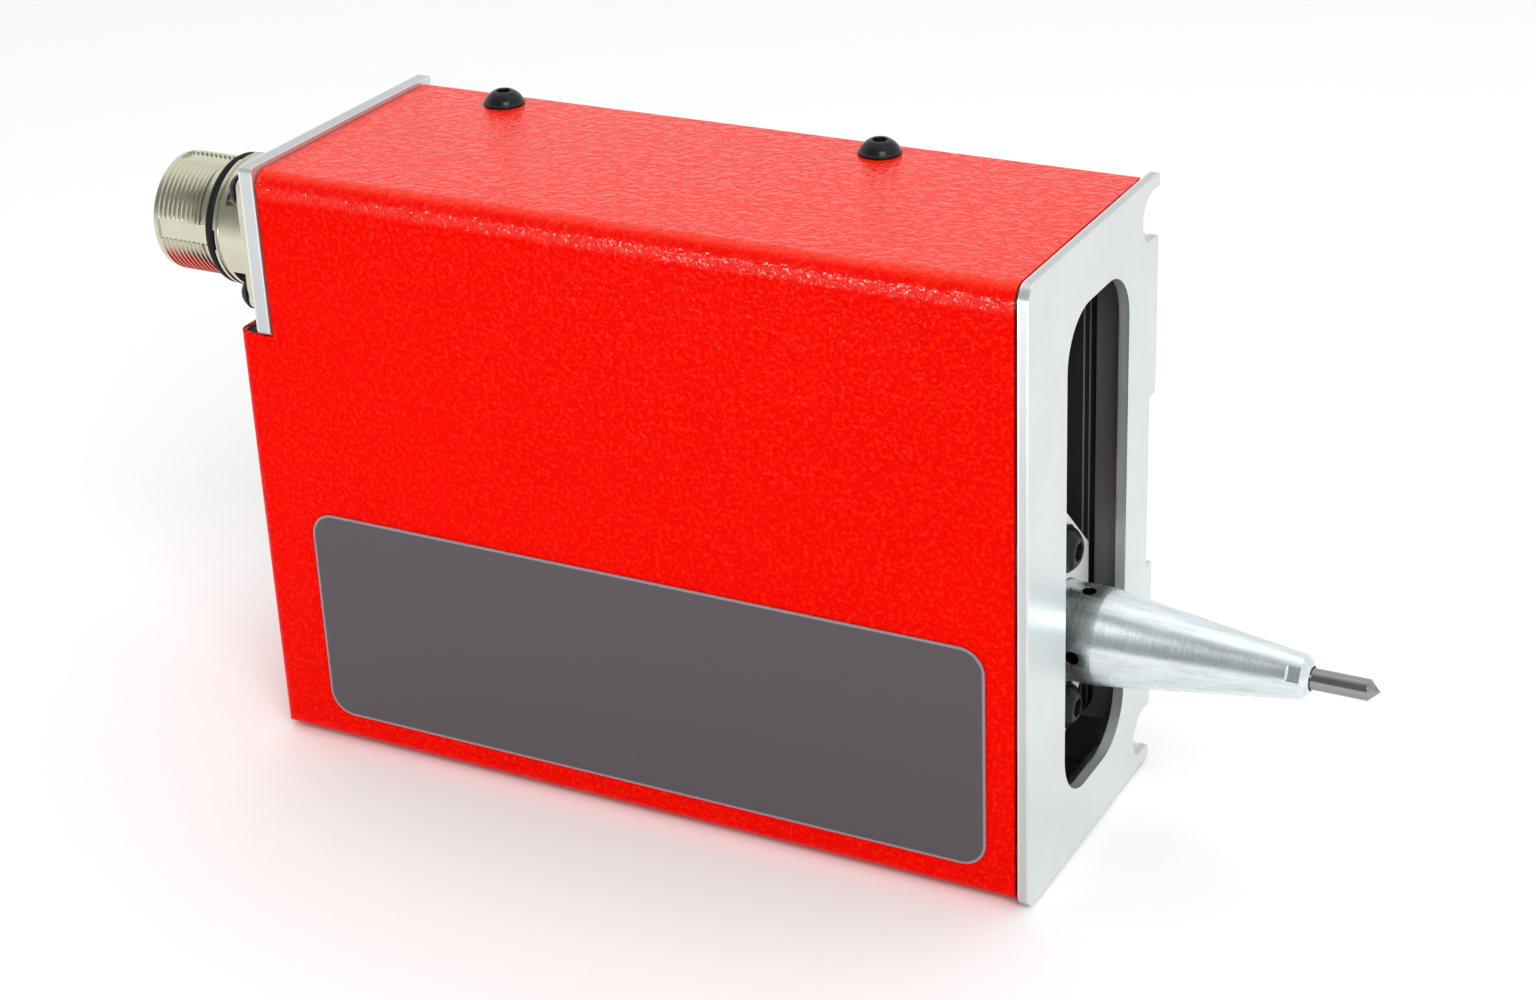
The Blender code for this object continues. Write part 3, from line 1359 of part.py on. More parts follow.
def make_z_bearings():
    spot = (back(Z_SCREW_BACK), across(Z_SCREW_ACROSS))
    half = BEARING_BLOCK_LENGTH / 2
    far = across(BASE_INNER - FIT)
    outline = rounded_rectangle((spot[0] - half, far - BEARING_BLOCK_DEPTH), (spot[0] + half, far), BLOCK_CORNER, 2)
    high = BEARING_BLOCK_LOW + BEARING_BLOCK_HEIGHT
    block = place("z_bearing_block", prism("z_bearing_block", outline, "Z", BEARING_BLOCK_LOW, high), aluminium())
    seat = BEARING_BLOCK_LOW + BEARING_WIDTH + FIT
    cut_hole(block, "top_bearing_seat", BEARING_RADIUS + FIT, "Z", spot, BEARING_BLOCK_LOW - OVERRUN, seat, ROUND)
    cut_hole(block, "top_shaft_hole", Z_SCREW_RADIUS + FIT, "Z", spot, seat - OVERRUN, high + OVERRUN, ROUND)
    bore = Z_SCREW_RADIUS + FIT
    place("z_bearing_top", bearing_mesh("z_bearing_top", bore), steel(), at=(*spot, BEARING_BLOCK_LOW))
    place("z_bearing_bottom", bearing_mesh("z_bearing_bottom", bore), steel(), at=(*spot, DRIVE_PLATE_LOW))
    low = (back(DRIVE_PLATE_REAR_BACK), across(DRIVE_PLATE_NEAR))
    outline = rounded_rectangle(low, (back(DRIVE_PLATE_FRONT), far), BLOCK_CORNER, 2)
    plate = place("drive_plate", prism("drive_plate", outline, "Z", DRIVE_PLATE_LOW, DRIVE_PLATE_TOP), aluminium())
    below, above = DRIVE_PLATE_LOW - OVERRUN, DRIVE_PLATE_TOP + OVERRUN
    cut_hole(plate, "plate_bearing_hole", BEARING_RADIUS + FIT, "Z", spot, below, above, ROUND)
    motor_spot = (back(Z_MOTOR_BACK), across(Z_SCREW_ACROSS))
    cut_hole(plate, "plate_shaft_hole", MOTOR_SHAFT_RADIUS * 2, "Z", motor_spot, below, above, ROUND)


def pulley_mesh(name, bore):
    """A small toothed pulley."""
    work = bmesh.new()
    steps = PULLEY_TEETH * 4
    ring = []
    for step in range(steps):
        angle = 2 * math.pi * step / steps
        radius = PULLEY_RADIUS if step % 4 < 2 else PULLEY_RADIUS - PULLEY_TOOTH_DEPTH
        ring.append((radius * math.cos(angle), radius * math.sin(angle)))
    inner = [(bore * math.cos(2 * math.pi * n / steps), bore * math.sin(2 * math.pi * n / steps)) for n in range(steps)]
    outer_low = [work.verts.new((*point, 0)) for point in ring]
    inner_low = [work.verts.new((*point, 0)) for point in inner]
    faces = []
    for index in range(steps):
        after = (index + 1) % steps
        faces.append(work.faces.new((outer_low[index], outer_low[after], inner_low[after], inner_low[index])))
    pushed = bmesh.ops.extrude_face_region(work, geom=faces)
    moved = [item for item in pushed["geom"] if isinstance(item, bmesh.types.BMVert)]
    bmesh.ops.translate(work, verts=moved, vec=(0, 0, PULLEY_HEIGHT))
    return to_mesh(name, work)


def make_z_drive(screw_body, motor_body):
    spot = (back(Z_SCREW_BACK), across(Z_SCREW_ACROSS))
    motor_spot = (back(Z_MOTOR_BACK), across(Z_SCREW_ACROSS))
    top = BEARING_BLOCK_LOW + BEARING_BLOCK_HEIGHT
    length = top - PULLEY_LOW
    edge = Z_SCREW_RADIUS / 5
    screw = [
        (0, 0),
        (Z_SCREW_RADIUS - edge, 0),
        (Z_SCREW_RADIUS, edge),
        (Z_SCREW_RADIUS, length - edge),
        (Z_SCREW_RADIUS - edge, length),
        (0, length),
    ]
    place("z_screw", turned("z_screw", screw, ROUND), steel(), screw_body, (*spot, PULLEY_LOW))
    place("z_screw_pulley", pulley_mesh("z_screw_pulley", Z_SCREW_RADIUS + FIT), aluminium(), screw_body,
          (*spot, PULLEY_LOW))
    low = DRIVE_PLATE_TOP + FIT
    high = low + Z_MOTOR_LENGTH
    levels = [
        (low + Z_MOTOR_CAP - FIT, high - Z_MOTOR_CAP + FIT, MOTOR_STACK_INSET),
        (low, low + Z_MOTOR_CAP, 0),
        (high - Z_MOTOR_CAP, high, 0),
    ]
    motor = stepped_motor("z_motor", motor_spot, Z_MOTOR_SIZE, levels, "Z", black_steel(), None)
    socket = MOTOR_SHAFT_RADIUS + FIT
    cut_hole(motor, "z_motor_hole", socket, "Z", motor_spot, low - OVERRUN, low + Y_SCREW_SOCKET + FIT, SMALL)
    shaft = [
        (0, 0),
        (MOTOR_SHAFT_RADIUS, 0),
        (MOTOR_SHAFT_RADIUS, low + Y_SCREW_SOCKET - PULLEY_LOW),
        (0, low + Y_SCREW_SOCKET - PULLEY_LOW),
    ]
    place("z_motor_shaft", turned("z_motor_shaft", shaft, ROUND), steel(), motor_body, (*motor_spot, PULLEY_LOW))
    place("z_motor_pulley", pulley_mesh("z_motor_pulley", socket), aluminium(), motor_body, (*motor_spot, PULLEY_LOW))
    make_belt(spot, motor_spot)


def make_belt(first, second):
    """A flat loop round both pulleys, clear of their teeth."""
    inner = PULLEY_RADIUS + FIT

    def loop(radius):
        return arc(first, radius, -0.25, 0.25, ROUND // 2) + arc(second, radius, 0.25, 0.75, ROUND // 2)

    low, high = PULLEY_LOW, PULLEY_LOW + PULLEY_HEIGHT
    belt = place("drive_belt", prism("drive_belt", loop(inner + BELT_THICK), "Z", low, high), rubber())
    cut(belt, "belt_inside", prism("belt_inside", loop(inner), "Z", low - OVERRUN, high + OVERRUN))


def make_z_home(carrier):
    low = DRIVE_PLATE_TOP + FIT
    near = across(SENSOR_ACROSS - SENSOR_WIDTH / 2)
    far = across(SENSOR_ACROSS + SENSOR_WIDTH / 2)
    slot_near = across(SENSOR_ACROSS - SENSOR_SLOT / 2)
    slot_far = across(SENSOR_ACROSS + SENSOR_SLOT / 2)
    top, floor = low + SENSOR_HEIGHT, low + SENSOR_FLOOR
    outline = [
        (near, low),
        (far, low),
        (far, top),
        (slot_far, top),
        (slot_far, floor),
        (slot_near, floor),
        (slot_near, top),
        (near, top),
    ]
    sensor = prism("z_home_sensor", outline, "X", back(SENSOR_BACK + SENSOR_DEPTH), back(SENSOR_BACK))
    place("z_home_sensor", sensor, black_plastic())
    face = back(Z_SCREW_BACK + NUT_BLOCK_REACH + FIT)
    flag = rectangle((face - FLAG_REACH, FLAG_LOW), (face, FLAG_LOW + FLAG_HEIGHT))
    near, far = across(SENSOR_ACROSS - FLAG_THICK / 2), across(SENSOR_ACROSS + FLAG_THICK / 2)
    place("z_home_flag", prism("z_home_flag", flag, "Y", near, far), steel(), carrier)


# Electronics


def make_board():
    near = across(POCKET_FLOOR - FIT - SPACER_LENGTH - FIT - BOARD_THICK)
    far = near + BOARD_THICK
    low = (back(BOARD_REAR_BACK), BOARD_LOW)
    high = (back(BOARD_REAR_BACK - BOARD_LENGTH), BOARD_LOW + BOARD_HEIGHT)
    board = place("interface_board", prism("interface_board", rounded_rectangle(low, high, SHEET, 2), "Y", near, far),
                  board_green())
    header = rectangle(
        (low[0] + SPACER_INSET * 2, high[1] - SPACER_INSET - HEADER_WIDTH),
        (high[0] - SPACER_INSET * 2, high[1] - SPACER_INSET),
    )
    join(board, "board_header", prism("board_header", header, "Y", near - HEADER_RISE, near + BOARD_THICK / 2))
    middle = ((low[0] + high[0]) / 2, (low[1] + high[1]) / 2)
    half = CHIP_SIZE / 2
    chip = rectangle((middle[0] - half, middle[1] - half), (middle[0] + half, middle[1] + half))
    join(board, "board_chip", prism("board_chip", chip, "Y", near - CHIP_RISE, near + BOARD_THICK / 2))
    spots = [
        (low[0] + SPACER_INSET, low[1] + SPACER_INSET),
        (high[0] - SPACER_INSET, low[1] + SPACER_INSET),
        (low[0] + SPACER_INSET, high[1] - SPACER_INSET),
        (high[0] - SPACER_INSET, high[1] - SPACER_INSET),
    ]
    spacer = prism("board_spacer", arc((0, 0), SPACER_RADIUS, 0, 5 / 6, 5), "Y", 0, SPACER_LENGTH)
    for index, spot in enumerate(spots):
        place(f"board_spacer_{index + 1}", spacer, brass(), at=(spot[0], far + FIT, spot[1]))


def main():
    clear_scene()
    z_axis = axis_empty("z_axis", (back(Z_RAIL_BACK), across(Z_CARRIAGE_FACE), HEAD_HEIGHT))
    y_axis = axis_empty("y_axis", (back(WALL_BACK), across(HEAD_ACROSS), HEAD_HEIGHT), z_axis)
    strike_axis = axis_empty("strike_axis", head_spot(0), y_axis)
    y_turn = axis_empty("y_screw_axis", (back(Y_MOTOR_BACK), across(Y_MOTOR_NEAR), ARM_MIDDLE), z_axis)
    z_turn = axis_empty("z_screw_axis", (back(Z_SCREW_BACK), across(Z_SCREW_ACROSS), PULLEY_LOW))
    motor_turn = axis_empty("z_motor_axis", (back(Z_MOTOR_BACK), across(Z_SCREW_ACROSS), PULLEY_LOW))
    make_front_plate()
    make_base_plate()
    make_cover()
    make_name_panel()
    make_rear_plate()
    make_crossbars()
    make_housing_screws()
    make_connector()
    make_nozzle(y_axis)
    make_flange_plate(y_axis)
    make_head_block(y_axis)
    make_magnet(y_axis)
    make_striker(strike_axis)
    make_return_spring(y_axis)
    make_y_slide_plate(y_axis)
    make_y_guide(z_axis, y_axis)
    make_y_drive(z_axis, y_turn)
    make_z_bracket(z_axis)
    make_z_guide(z_axis)
    make_z_bearings()
    make_z_drive(z_turn, motor_turn)
    make_z_home(z_axis)
    make_board()


main()
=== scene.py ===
"""Compact dot-marking head: its visible pieces, finishes and stage, built on the frame."""

import math

import bmesh
import bpy
from bpy.props import FloatProperty, FloatVectorProperty, IntProperty, PointerProperty
from mathutils import Matrix, Vector


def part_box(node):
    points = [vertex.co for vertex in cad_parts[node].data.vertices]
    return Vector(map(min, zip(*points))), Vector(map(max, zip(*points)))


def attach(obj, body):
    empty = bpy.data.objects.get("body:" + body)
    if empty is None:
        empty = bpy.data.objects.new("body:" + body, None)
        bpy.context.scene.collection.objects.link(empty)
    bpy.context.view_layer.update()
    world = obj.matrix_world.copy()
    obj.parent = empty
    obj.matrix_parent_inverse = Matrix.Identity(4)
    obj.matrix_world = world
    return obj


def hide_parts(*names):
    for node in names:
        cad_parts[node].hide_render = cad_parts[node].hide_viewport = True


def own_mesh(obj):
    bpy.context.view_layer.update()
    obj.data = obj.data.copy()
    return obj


bl_info = {
    "name": "Dot-marking head",
    "version": (1, 0, 0),
    "blender": (4, 5, 0),
    "location": "3D View > Sidebar > Marking head",
    "description": "Builds a compact dot-marking head with its finishes and stage",
    "category": "Object",
}

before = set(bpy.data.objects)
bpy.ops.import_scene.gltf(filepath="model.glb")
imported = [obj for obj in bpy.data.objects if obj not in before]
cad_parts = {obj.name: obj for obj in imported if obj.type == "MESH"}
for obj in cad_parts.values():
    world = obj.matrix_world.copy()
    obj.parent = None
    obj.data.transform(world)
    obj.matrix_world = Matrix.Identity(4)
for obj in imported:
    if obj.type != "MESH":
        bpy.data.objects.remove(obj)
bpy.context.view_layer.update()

# Directions and turns
FORWARD, REARWARD, UPWARD, DOWNWARD = (1, 0, 0), (-1, 0, 0), (0, 0, 1), (0, 0, -1)
FULL_TURN = 2 * math.pi
RIGHT_ANGLE = math.pi / 2
ALONG_X = Matrix.Rotation(RIGHT_ANGLE, 4, "Y")
VENT_TURN = math.radians(4)
FLAT_TURN = math.radians(-30)

# Angles above which an edge shows as a crease, and above which it is softened
CREASE = math.radians(32)
SOFTENED = math.radians(38)

# In metres: how far cutters reach past a piece, the gap at the rear plate, the base plate's wall in
# front of its pocket, and the depth of fine scratches
CLEAR = 0.002
SEAM = 0.0003
POCKET_WALL = 0.0054
SCRATCH = 0.00001

# Of a plate's four corners, the two near ones
NEAR_CORNERS = (1, 0, 0, 1)

# Screws that also have holes cut for them
CONNECTOR_SCREWS = [f"connector_screw_{index}" for index in range(1, 5)]
REAR_SCREWS = ("rear_plate_screw_lower", "rear_plate_screw_upper")
FLANGE_SCREWS = ("flange_screw_lower", "flange_screw_upper")

# Button-headed screws: the head's rise, the shank's radius and half the socket's width
COVER_BUTTON = (0.00262, 0.0015, 0.00135)
REAR_BUTTON = (0.00262, 0.0020, 0.00135)
FLANGE_BUTTON = (0.00300, 0.0025, 0.0017)
CONNECTOR_BUTTON = (0.00242, 0.0015, 0.0011)

# Where the lamps point, and the square lamps: name, place, side in metres, watts
LAMP_TARGET = Vector((0, 0, 0.06))
LAMPS = (
    ("key", (-0.10, 0.15, 1.30), 1.20, 2),
    ("front", (1.0, -1.1, 1.25), 0.9, 19.4),
    ("strip", (-0.20, -0.52, 0.050), 0.05, 0.62),
)

# The camera: place, azimuth, elevation and roll, focal length and width of the picture in pixels
CAMERA_SPOT = (0.2376, -0.4389, 0.2966)
CAMERA_ANGLES = [math.radians(angle) for angle in (28.455, 25.706, -2.384)]
FOCAL_PIXELS = 2934
FRAME_PIXELS = 1536


# Sizes and colours that a user would change


def metres(name, description, default):
    return FloatProperty(name=name, description=description, default=default, unit="LENGTH")


def tone(name, description, default):
    return FloatVectorProperty(name=name, description=description, default=default, subtype="COLOR", size=3)


def number(name, description, default, least):
    return IntProperty(name=name, description=description, default=default, min=least)


class HousingSizes(bpy.types.PropertyGroup):
    sheet: metres("Sheet", "Thickness of the cover's sheet", 0.001)
    bend: metres("Bend", "Outer radius of the cover's bends", 0.0032)
    groove: metres("Groove", "Width of a clamping groove", 0.0095)
    groove_lip: metres("Groove lip", "Material outside a clamping groove", 0.0023)
    groove_depth: metres("Groove depth", "Depth of a clamping groove", 0.008)
    relief: metres("Relief", "Height of the far side's relief", 0.035)
    relief_depth: metres("Relief depth", "Depth of the relief", 0.003)
    window_near: metres("Window near edge", "Window's distance from the near side", 0.017)
    window_width: metres("Window width", "Window's width", 0.029)
    window_height: metres("Window height", "Window's height", 0.0958)
    window_corner: metres("Window corner", "Radius of the window's corners", 0.010)
    plate_corner: metres("Plate corner", "Radius of the front plate's near corners", 0.003)
    edge: metres("Edge", "Chamfer of the machined plates", 0.00028)
    panel_corner: metres("Panel corner", "Radius of the panel's corners", 0.005)
    bend_steps: number("Bend steps", "Facets round a bend", 14, 3)


class HeadSizes(bpy.types.PropertyGroup):
    nozzle_radius: metres("Nozzle radius", "Radius of the nozzle's cylinder", 0.0092)
    nozzle_tip: metres("Nozzle tip", "Radius where the cone meets its chamfer", 0.00415)
    stylus_radius: metres("Stylus radius", "Radius of the hard-metal rod", 0.002)
    thread_pitch: metres("Thread pitch", "Pitch of the connector's thread", 0.00108)
    thread_depth: metres("Thread depth", "Depth of the connector's thread", 0.00042)
    turns: number("Spring turns", "Turns of the return spring", 11, 3)
    facets: number("Facets", "Facets round a turned piece", 96, 24)


class Finishes(bpy.types.PropertyGroup):
    paint: tone("Paint", "Textured paint of the cover", (0.72, 0.0010, 0.0001))
    metal: tone("Aluminium", "Machined plates", (0.82, 0.86, 0.865))
    nickel: tone("Nickel", "Plated shell of the connector", (0.60, 0.59, 0.465))
    panel: tone("Panel", "Film on the near side", (0.060, 0.052, 0.060))
    black: tone("Black", "Blackened screws", (0.012, 0.012, 0.014))


# Shader maths


class Signal:
    """One value that runs through a finish; Python's own signs add the Math nodes."""

    def __init__(self, finish, socket):
        self.finish = finish
        self.socket = socket

    def maths(self, operation, *values):
        return self.finish.node("ShaderNodeMath", {"operation": operation}, dict(enumerate(values)))

    def __add__(self, other):
        return self.maths("ADD", self, other)

    __radd__ = __add__

    def __sub__(self, other):
        return self.maths("SUBTRACT", self, other)

    def __rsub__(self, other):
        return self.maths("SUBTRACT", other, self)

    def __mul__(self, other):
        return self.maths("MULTIPLY", self, other)

    __rmul__ = __mul__

    def __pow__(self, other):
        return self.maths("POWER", self, other)

    def __rpow__(self, other):
        return self.maths("POWER", other, self)

    def least(self, other):
        return self.maths("MINIMUM", self, other)

    def most(self, other):
        return self.maths("MAXIMUM", self, other)

    def size(self):
        return self.maths("ABSOLUTE", self)

    def wave(self):
        return self.maths("SINE", self)

    def bearing(self, other):
        """The angle of the point (other, self) about the origin."""
        return self.maths("ARCTAN2", self, other)

    def over(self, low, high):
        """Zero below low, one above high, smooth between."""
        sockets = {"Value": self, "From Min": low, "From Max": high}
        return self.finish.node("ShaderNodeMapRange", {"interpolation_type": "SMOOTHSTEP"}, sockets)


class Wiring:
    """Adds and links the nodes of one node tree."""

    def __init__(self, tree):
        self.tree = tree

    def node(self, kind, settings=None, sockets=None, output=0):
        """Adds a node: its settings first, then the values or links of its sockets."""
        made = self.tree.nodes.new(kind)
        for key, value in (settings or {}).items():
            setattr(made, key, value)
        for key, value in (sockets or {}).items():
            self.feed(made, key, value)
        return Signal(self, made.outputs[output])

    def feed(self, node, key, value):
        """Links a signal to a node's socket, or sets the socket's value."""
        if isinstance(value, Signal):
            self.tree.links.new(value.socket, node.inputs[key])
        else:
            node.inputs[key].default_value = value


def spoken(key):
    """A keyword as its socket's name."""
    return key.replace("_", " ").title().replace("Ior", "IOR")


class Finish(Wiring):
    """A procedural material: constants on the shader, and signals where the surface varies."""

    def __init__(self, name, colour, roughness, metallic=0.0, **constants):
        self.material = bpy.data.materials.new(name)
        self.material.use_nodes = True
        super().__init__(self.material.node_tree)
        self.shader = self.tree.nodes["Principled BSDF"]
        self.fed = {}
        self.give("Base Color", (*colour, 1.0))
        self.give("Roughness", roughness)
        self.give("Metallic", metallic)
        for key, value in constants.items():
            self.give(spoken(key), value)

    def give(self, name, value):
        """Feeds the shader and keeps note of it for a second layer."""
        self.fed[name] = value
        self.feed(self.shader, name, value)

    def over_layer(self, mask, **changed):
        """Mixes in a second shader that differs in a few constants, where the mask is one."""
        sockets = dict(self.fed)
        for key, value in changed.items():
            sockets[spoken(key)] = value
        second = self.node("ShaderNodeBsdfPrincipled", None, sockets)
        first = Signal(self, self.shader.outputs[0])
        mixed = self.node("ShaderNodeMixShader", None, {0: mask, 1: first, 2: second})
        self.feed(self.tree.nodes["Material Output"], "Surface", mixed)

    def place(self, stretch=(1, 1, 1), turn=(0, 0, 0), move=(0, 0, 0)):
        """The point on the object, moved, turned and stretched."""
        point = self.node("ShaderNodeTexCoord", output="Object")
        sockets = {"Vector": point, "Location": move, "Rotation": turn, "Scale": stretch}
        return self.node("ShaderNodeMapping", {"vector_type": "POINT"}, sockets)

    def axes(self, **where):
        """The point's three coordinates, each a signal of its own."""
        split = self.node("ShaderNodeSeparateXYZ", None, {"Vector": self.place(**where)}).socket.node
        return [Signal(self, output) for output in split.outputs]

    def noise(self, size, detail=2.0, rough=0.5, where=None):
        """Noise whose features are about size metres across."""
        sockets = {"Vector": where or self.place(), "Scale": 1 / size, "Detail": detail, "Roughness": rough}
        return self.node("ShaderNodeTexNoise", None, sockets)

    def cells(self, size):
        """Distance to the middle of the nearest cell; cells are about size metres across."""
        sockets = {"Vector": self.place(), "Scale": 1 / size}
        return self.node("ShaderNodeTexVoronoi", {"feature": "F1"}, sockets)

    def mix(self, mask, first, second):
        """The first colour where the mask is zero, the second where it is one."""
        pair = [shade if isinstance(shade, Signal) else (*shade, 1.0) for shade in (first, second)]
        return self.node("ShaderNodeMix", {"data_type": "RGBA"}, {0: mask, 6: pair[0], 7: pair[1]}, 2)

    def tinted(self, mask, colour, darker, lighter):
        """A colour between two tints of itself."""
        return self.mix(mask, tint(colour, darker), tint(colour, lighter))

    def surface(self, colour, roughness, height, depth, strength):
        """Feeds colour, roughness and a bump: a height of zero to one, times a depth in metres."""
        self.give("Base Color", colour)
        self.give("Roughness", roughness)
        sockets = {"Height": height, "Distance": depth, "Strength": strength}
        self.give("Normal", self.node("ShaderNodeBump", None, sockets))
        return self.material


# Finishes


def tint(colour, share):
    """A colour made darker or lighter."""
    return tuple(min(1.0, channel * share) for channel in colour)


def paint_finish(colours, low, high, bend):
    """Wrinkled powder paint, glossier from the bend upward, with painted glints on its peel bumps, a painted
    sheen that makes the flat top a lighter, warmer red, and painted shade that makes its inner faces
    near-black.
    """
    # Colours: painted glints on the peel bumps, a painted sheen for the flat top, painted shade for the inner
    # faces
    glint_red, painted_top_sheen, inner_shade = (0.80, 0.013, 0.0010), (0.86, 0.019, 0.003), (0.02, 0.017, 0.016)
    made = Finish("red_textured_paint", colours.paint, 0.4, specular_ior_level=0.02)
    x, y, z = made.axes()
    # Painted shade: deeper than about 0.9 mm inside the outer skin, on the cover's inner faces, the colour is
    # painted near-black
    reaches = [(bend - gap).most(0.0) for gap in (x - low.x, y - low.y, (z - low.z).least(high.z - z))]
    squares = reaches[0] * reaches[0] + reaches[1] * reaches[1] + reaches[2] * reaches[2]
    inside = (bend - squares**0.5).over(0.00085, 0.00095)
    wrinkle = (made.noise(0.0029, 2.0, 0.6) - 0.5).size() * 4.0
    peel = made.noise(0.0009, 2.0, 0.6)
    # Painted glints: where the fine peel bumps stand high, the red is painted lighter and more orange
    glinted_paint = made.mix(peel.over(0.46, 0.70), made.tinted(made.noise(0.03), colours.paint, 0.94, 1.06), glint_red)
    # Painted sheen: the flat top, down to where the bend starts, is painted a lighter, warmer red
    top_sheen_mask = z.over(high.z - bend * 0.45, high.z - bend * 0.05)
    shade = made.mix(inside, made.mix(top_sheen_mask, glinted_paint, painted_top_sheen), inner_shade)
    made.surface(shade, peel * 0.10 + 0.11, wrinkle.least(0.7) + peel * 0.5, 0.00018, 0.9)
    crest = wrinkle.over(0.0, 0.30) * 0.5 + 0.5
    gloss = z.over(high.z - bend * 1.7, high.z - bend * 1.2) * crest
    made.over_layer(gloss, specular_ior_level=0.36, specular_tint=(1, 0.84, 0.72, 1))
    return made.material


def milled_finish(colours, name, along, rough, shade, faces=None):
    """Aluminium with fine tool lines along one direction; between two X faces its cut edges are greyer,
    partly a duller cut finish and partly painted shade that darkens the plates' top edges.
    """
    colour = tint(colours.metal, shade)
    made = Finish(name, colour, rough, 1.0)
    lines = made.noise(0.00022, 3.0, 0.6, made.place(stretch=along))
    cloud = made.noise(0.012, 3.0, 0.5)
    metal = made.tinted(cloud, colour, 0.93, 1.06)
    if faces:
        half = (faces[1] - faces[0]) / 2
        inward = (made.axes()[0] - (faces[0] + half)).size()
        # Partly painted shade: the cut edges, the top edges among them, are painted greyer and less metallic
        cut = 1 - inward.over(half - 0.0004, half - 0.0003)
        metal = made.mix(cut, metal, made.tinted(cloud, colour, 0.70, 0.80))
        made.give("Metallic", 0.80 - cut * 0.25)
    return made.surface(metal, lines * 0.14 + cloud * 0.10 + (rough - 0.12), lines, SCRATCH, 0.35)


def base_finish(colours, low, high, floor, window):
    """Milled aluminium; behind the window it is painted dark as painted shade, darker still on the deep
    pocket floor, with two paler lines by the front edge as painted highlights.
    """
    made = Finish("base_plate_aluminium", colours.metal, 0.33, 1.0)
    x, y, z = made.axes()
    rise = (z - (low.z + high.z) / 2).size()
    # Painted shade: the inner face and pocket behind the window, within the window's height, are painted dark
    pocket = (1 - y.over(floor, floor + 0.0001)) * (1 - rise.over(window / 2, window / 2 + 0.0001))
    pocket = pocket * (1 - x.over(high.x - 0.0005, high.x - 0.0004))
    # Deeper in, on the pocket floor, the painted shade is darker still
    deep_shade = y.over(low.y + 0.001, low.y + 0.002)
    # Painted highlights: two paler lines, 2.4 and 3.6 mm behind the pocket's front edge
    behind = high.x - POCKET_WALL - x
    highlight_lines = (behind - 0.0024).size().least((behind - 0.0036).size())
    lines = made.noise(0.00025, 3.0, 0.6, made.place(stretch=(0.03, 1, 1)))
    cloud = made.noise(0.012, 3.0, 0.5)
    bright = made.tinted(cloud, colours.metal, 0.80, 0.92)
    streaks = made.noise(0.004, 2.0, 0.5, made.place(stretch=(1, 1, 0.05)))
    # Painted shade colours: streaked dark grey on the inner face, near-black on the pocket floor, with the
    # paler painted highlight lines
    near = made.mix(streaks, (0.13, 0.12, 0.118), (0.20, 0.185, 0.178))
    far = made.mix(1 - highlight_lines.over(0.0001, 0.0002), (0.045, 0.038, 0.036), (0.42, 0.40, 0.38))
    made.give("Metallic", 1 - pocket * 0.5)
    metal = made.mix(pocket, bright, made.mix(deep_shade, near, far))
    return made.surface(metal, lines * 0.14 + cloud * 0.1 + pocket * 0.2 + 0.2, lines, SCRATCH, 0.35)


def turned_finish(name, colour, rough, reflection_streak, depth, axis=None, bore=0.0, front=0.0):
    """Metal turned about X: fine rings, lengthwise streaks as painted reflections, and painted shade that
    darkens the bore and holes behind a front.
    """
    made = Finish(name, colour, rough, 1.0)
    round_it = made.place(stretch=(1, 0.02, 0.02))
    rings = made.noise(0.00016, 3.0, 0.65, round_it)
    bands = made.noise(0.0016, 2.0, 0.5, round_it)
    # Painted reflections: lengthwise streaks that lighten and darken the metal along the piece
    streaks = made.noise(0.0011, 3.0, 0.65, made.place(stretch=(0.02, 1, 1))).over(0.3, 0.6)
    metal = made.tinted(bands * 0.3 + streaks * 0.7, colour, 1 - reflection_streak, 1 + reflection_streak * 0.6)
    # Painted shade: inside the bore and the vent holes, behind the front, the metal is painted near-black
    if axis:
        x, y, z = made.axes(move=(0, -axis.y, -axis.z))
        reach = (y * y + z * z) ** 0.5
        inside = (1 - reach.over(bore - 0.0001, bore)) * (1 - x.over(front, front + 0.0001))
        metal = made.mix(inside, metal, tint(colour, 0.04))
    return made.surface(metal, rings * 0.16 + (rough - 0.08), rings, depth, 0.5)


def plated_finish(colours):
    """Nickel plate, slightly cloudy in colour and gloss."""
    made = Finish("nickel_plate", colours.nickel, 0.2, 1.0)
    cloud = made.noise(0.004, 3.0, 0.6)
    metal = made.tinted(cloud, colours.nickel, 0.90, 1.10)
    return made.surface(metal, cloud * 0.16 + 0.12, made.noise(0.0006, 3.0, 0.6), SCRATCH, 0.3)


def black_finish(colours):
    """Blackened steel with a fine grain."""
    made = Finish("blackened_steel", colours.black, 0.24, 0.35, specular_ior_level=0.22)
    grain = made.noise(0.00035, 3.0, 0.6)
    return made.surface(made.tinted(grain, colours.black, 0.6, 2.2), grain * 0.18 + 0.14, grain, SCRATCH, 0.4)


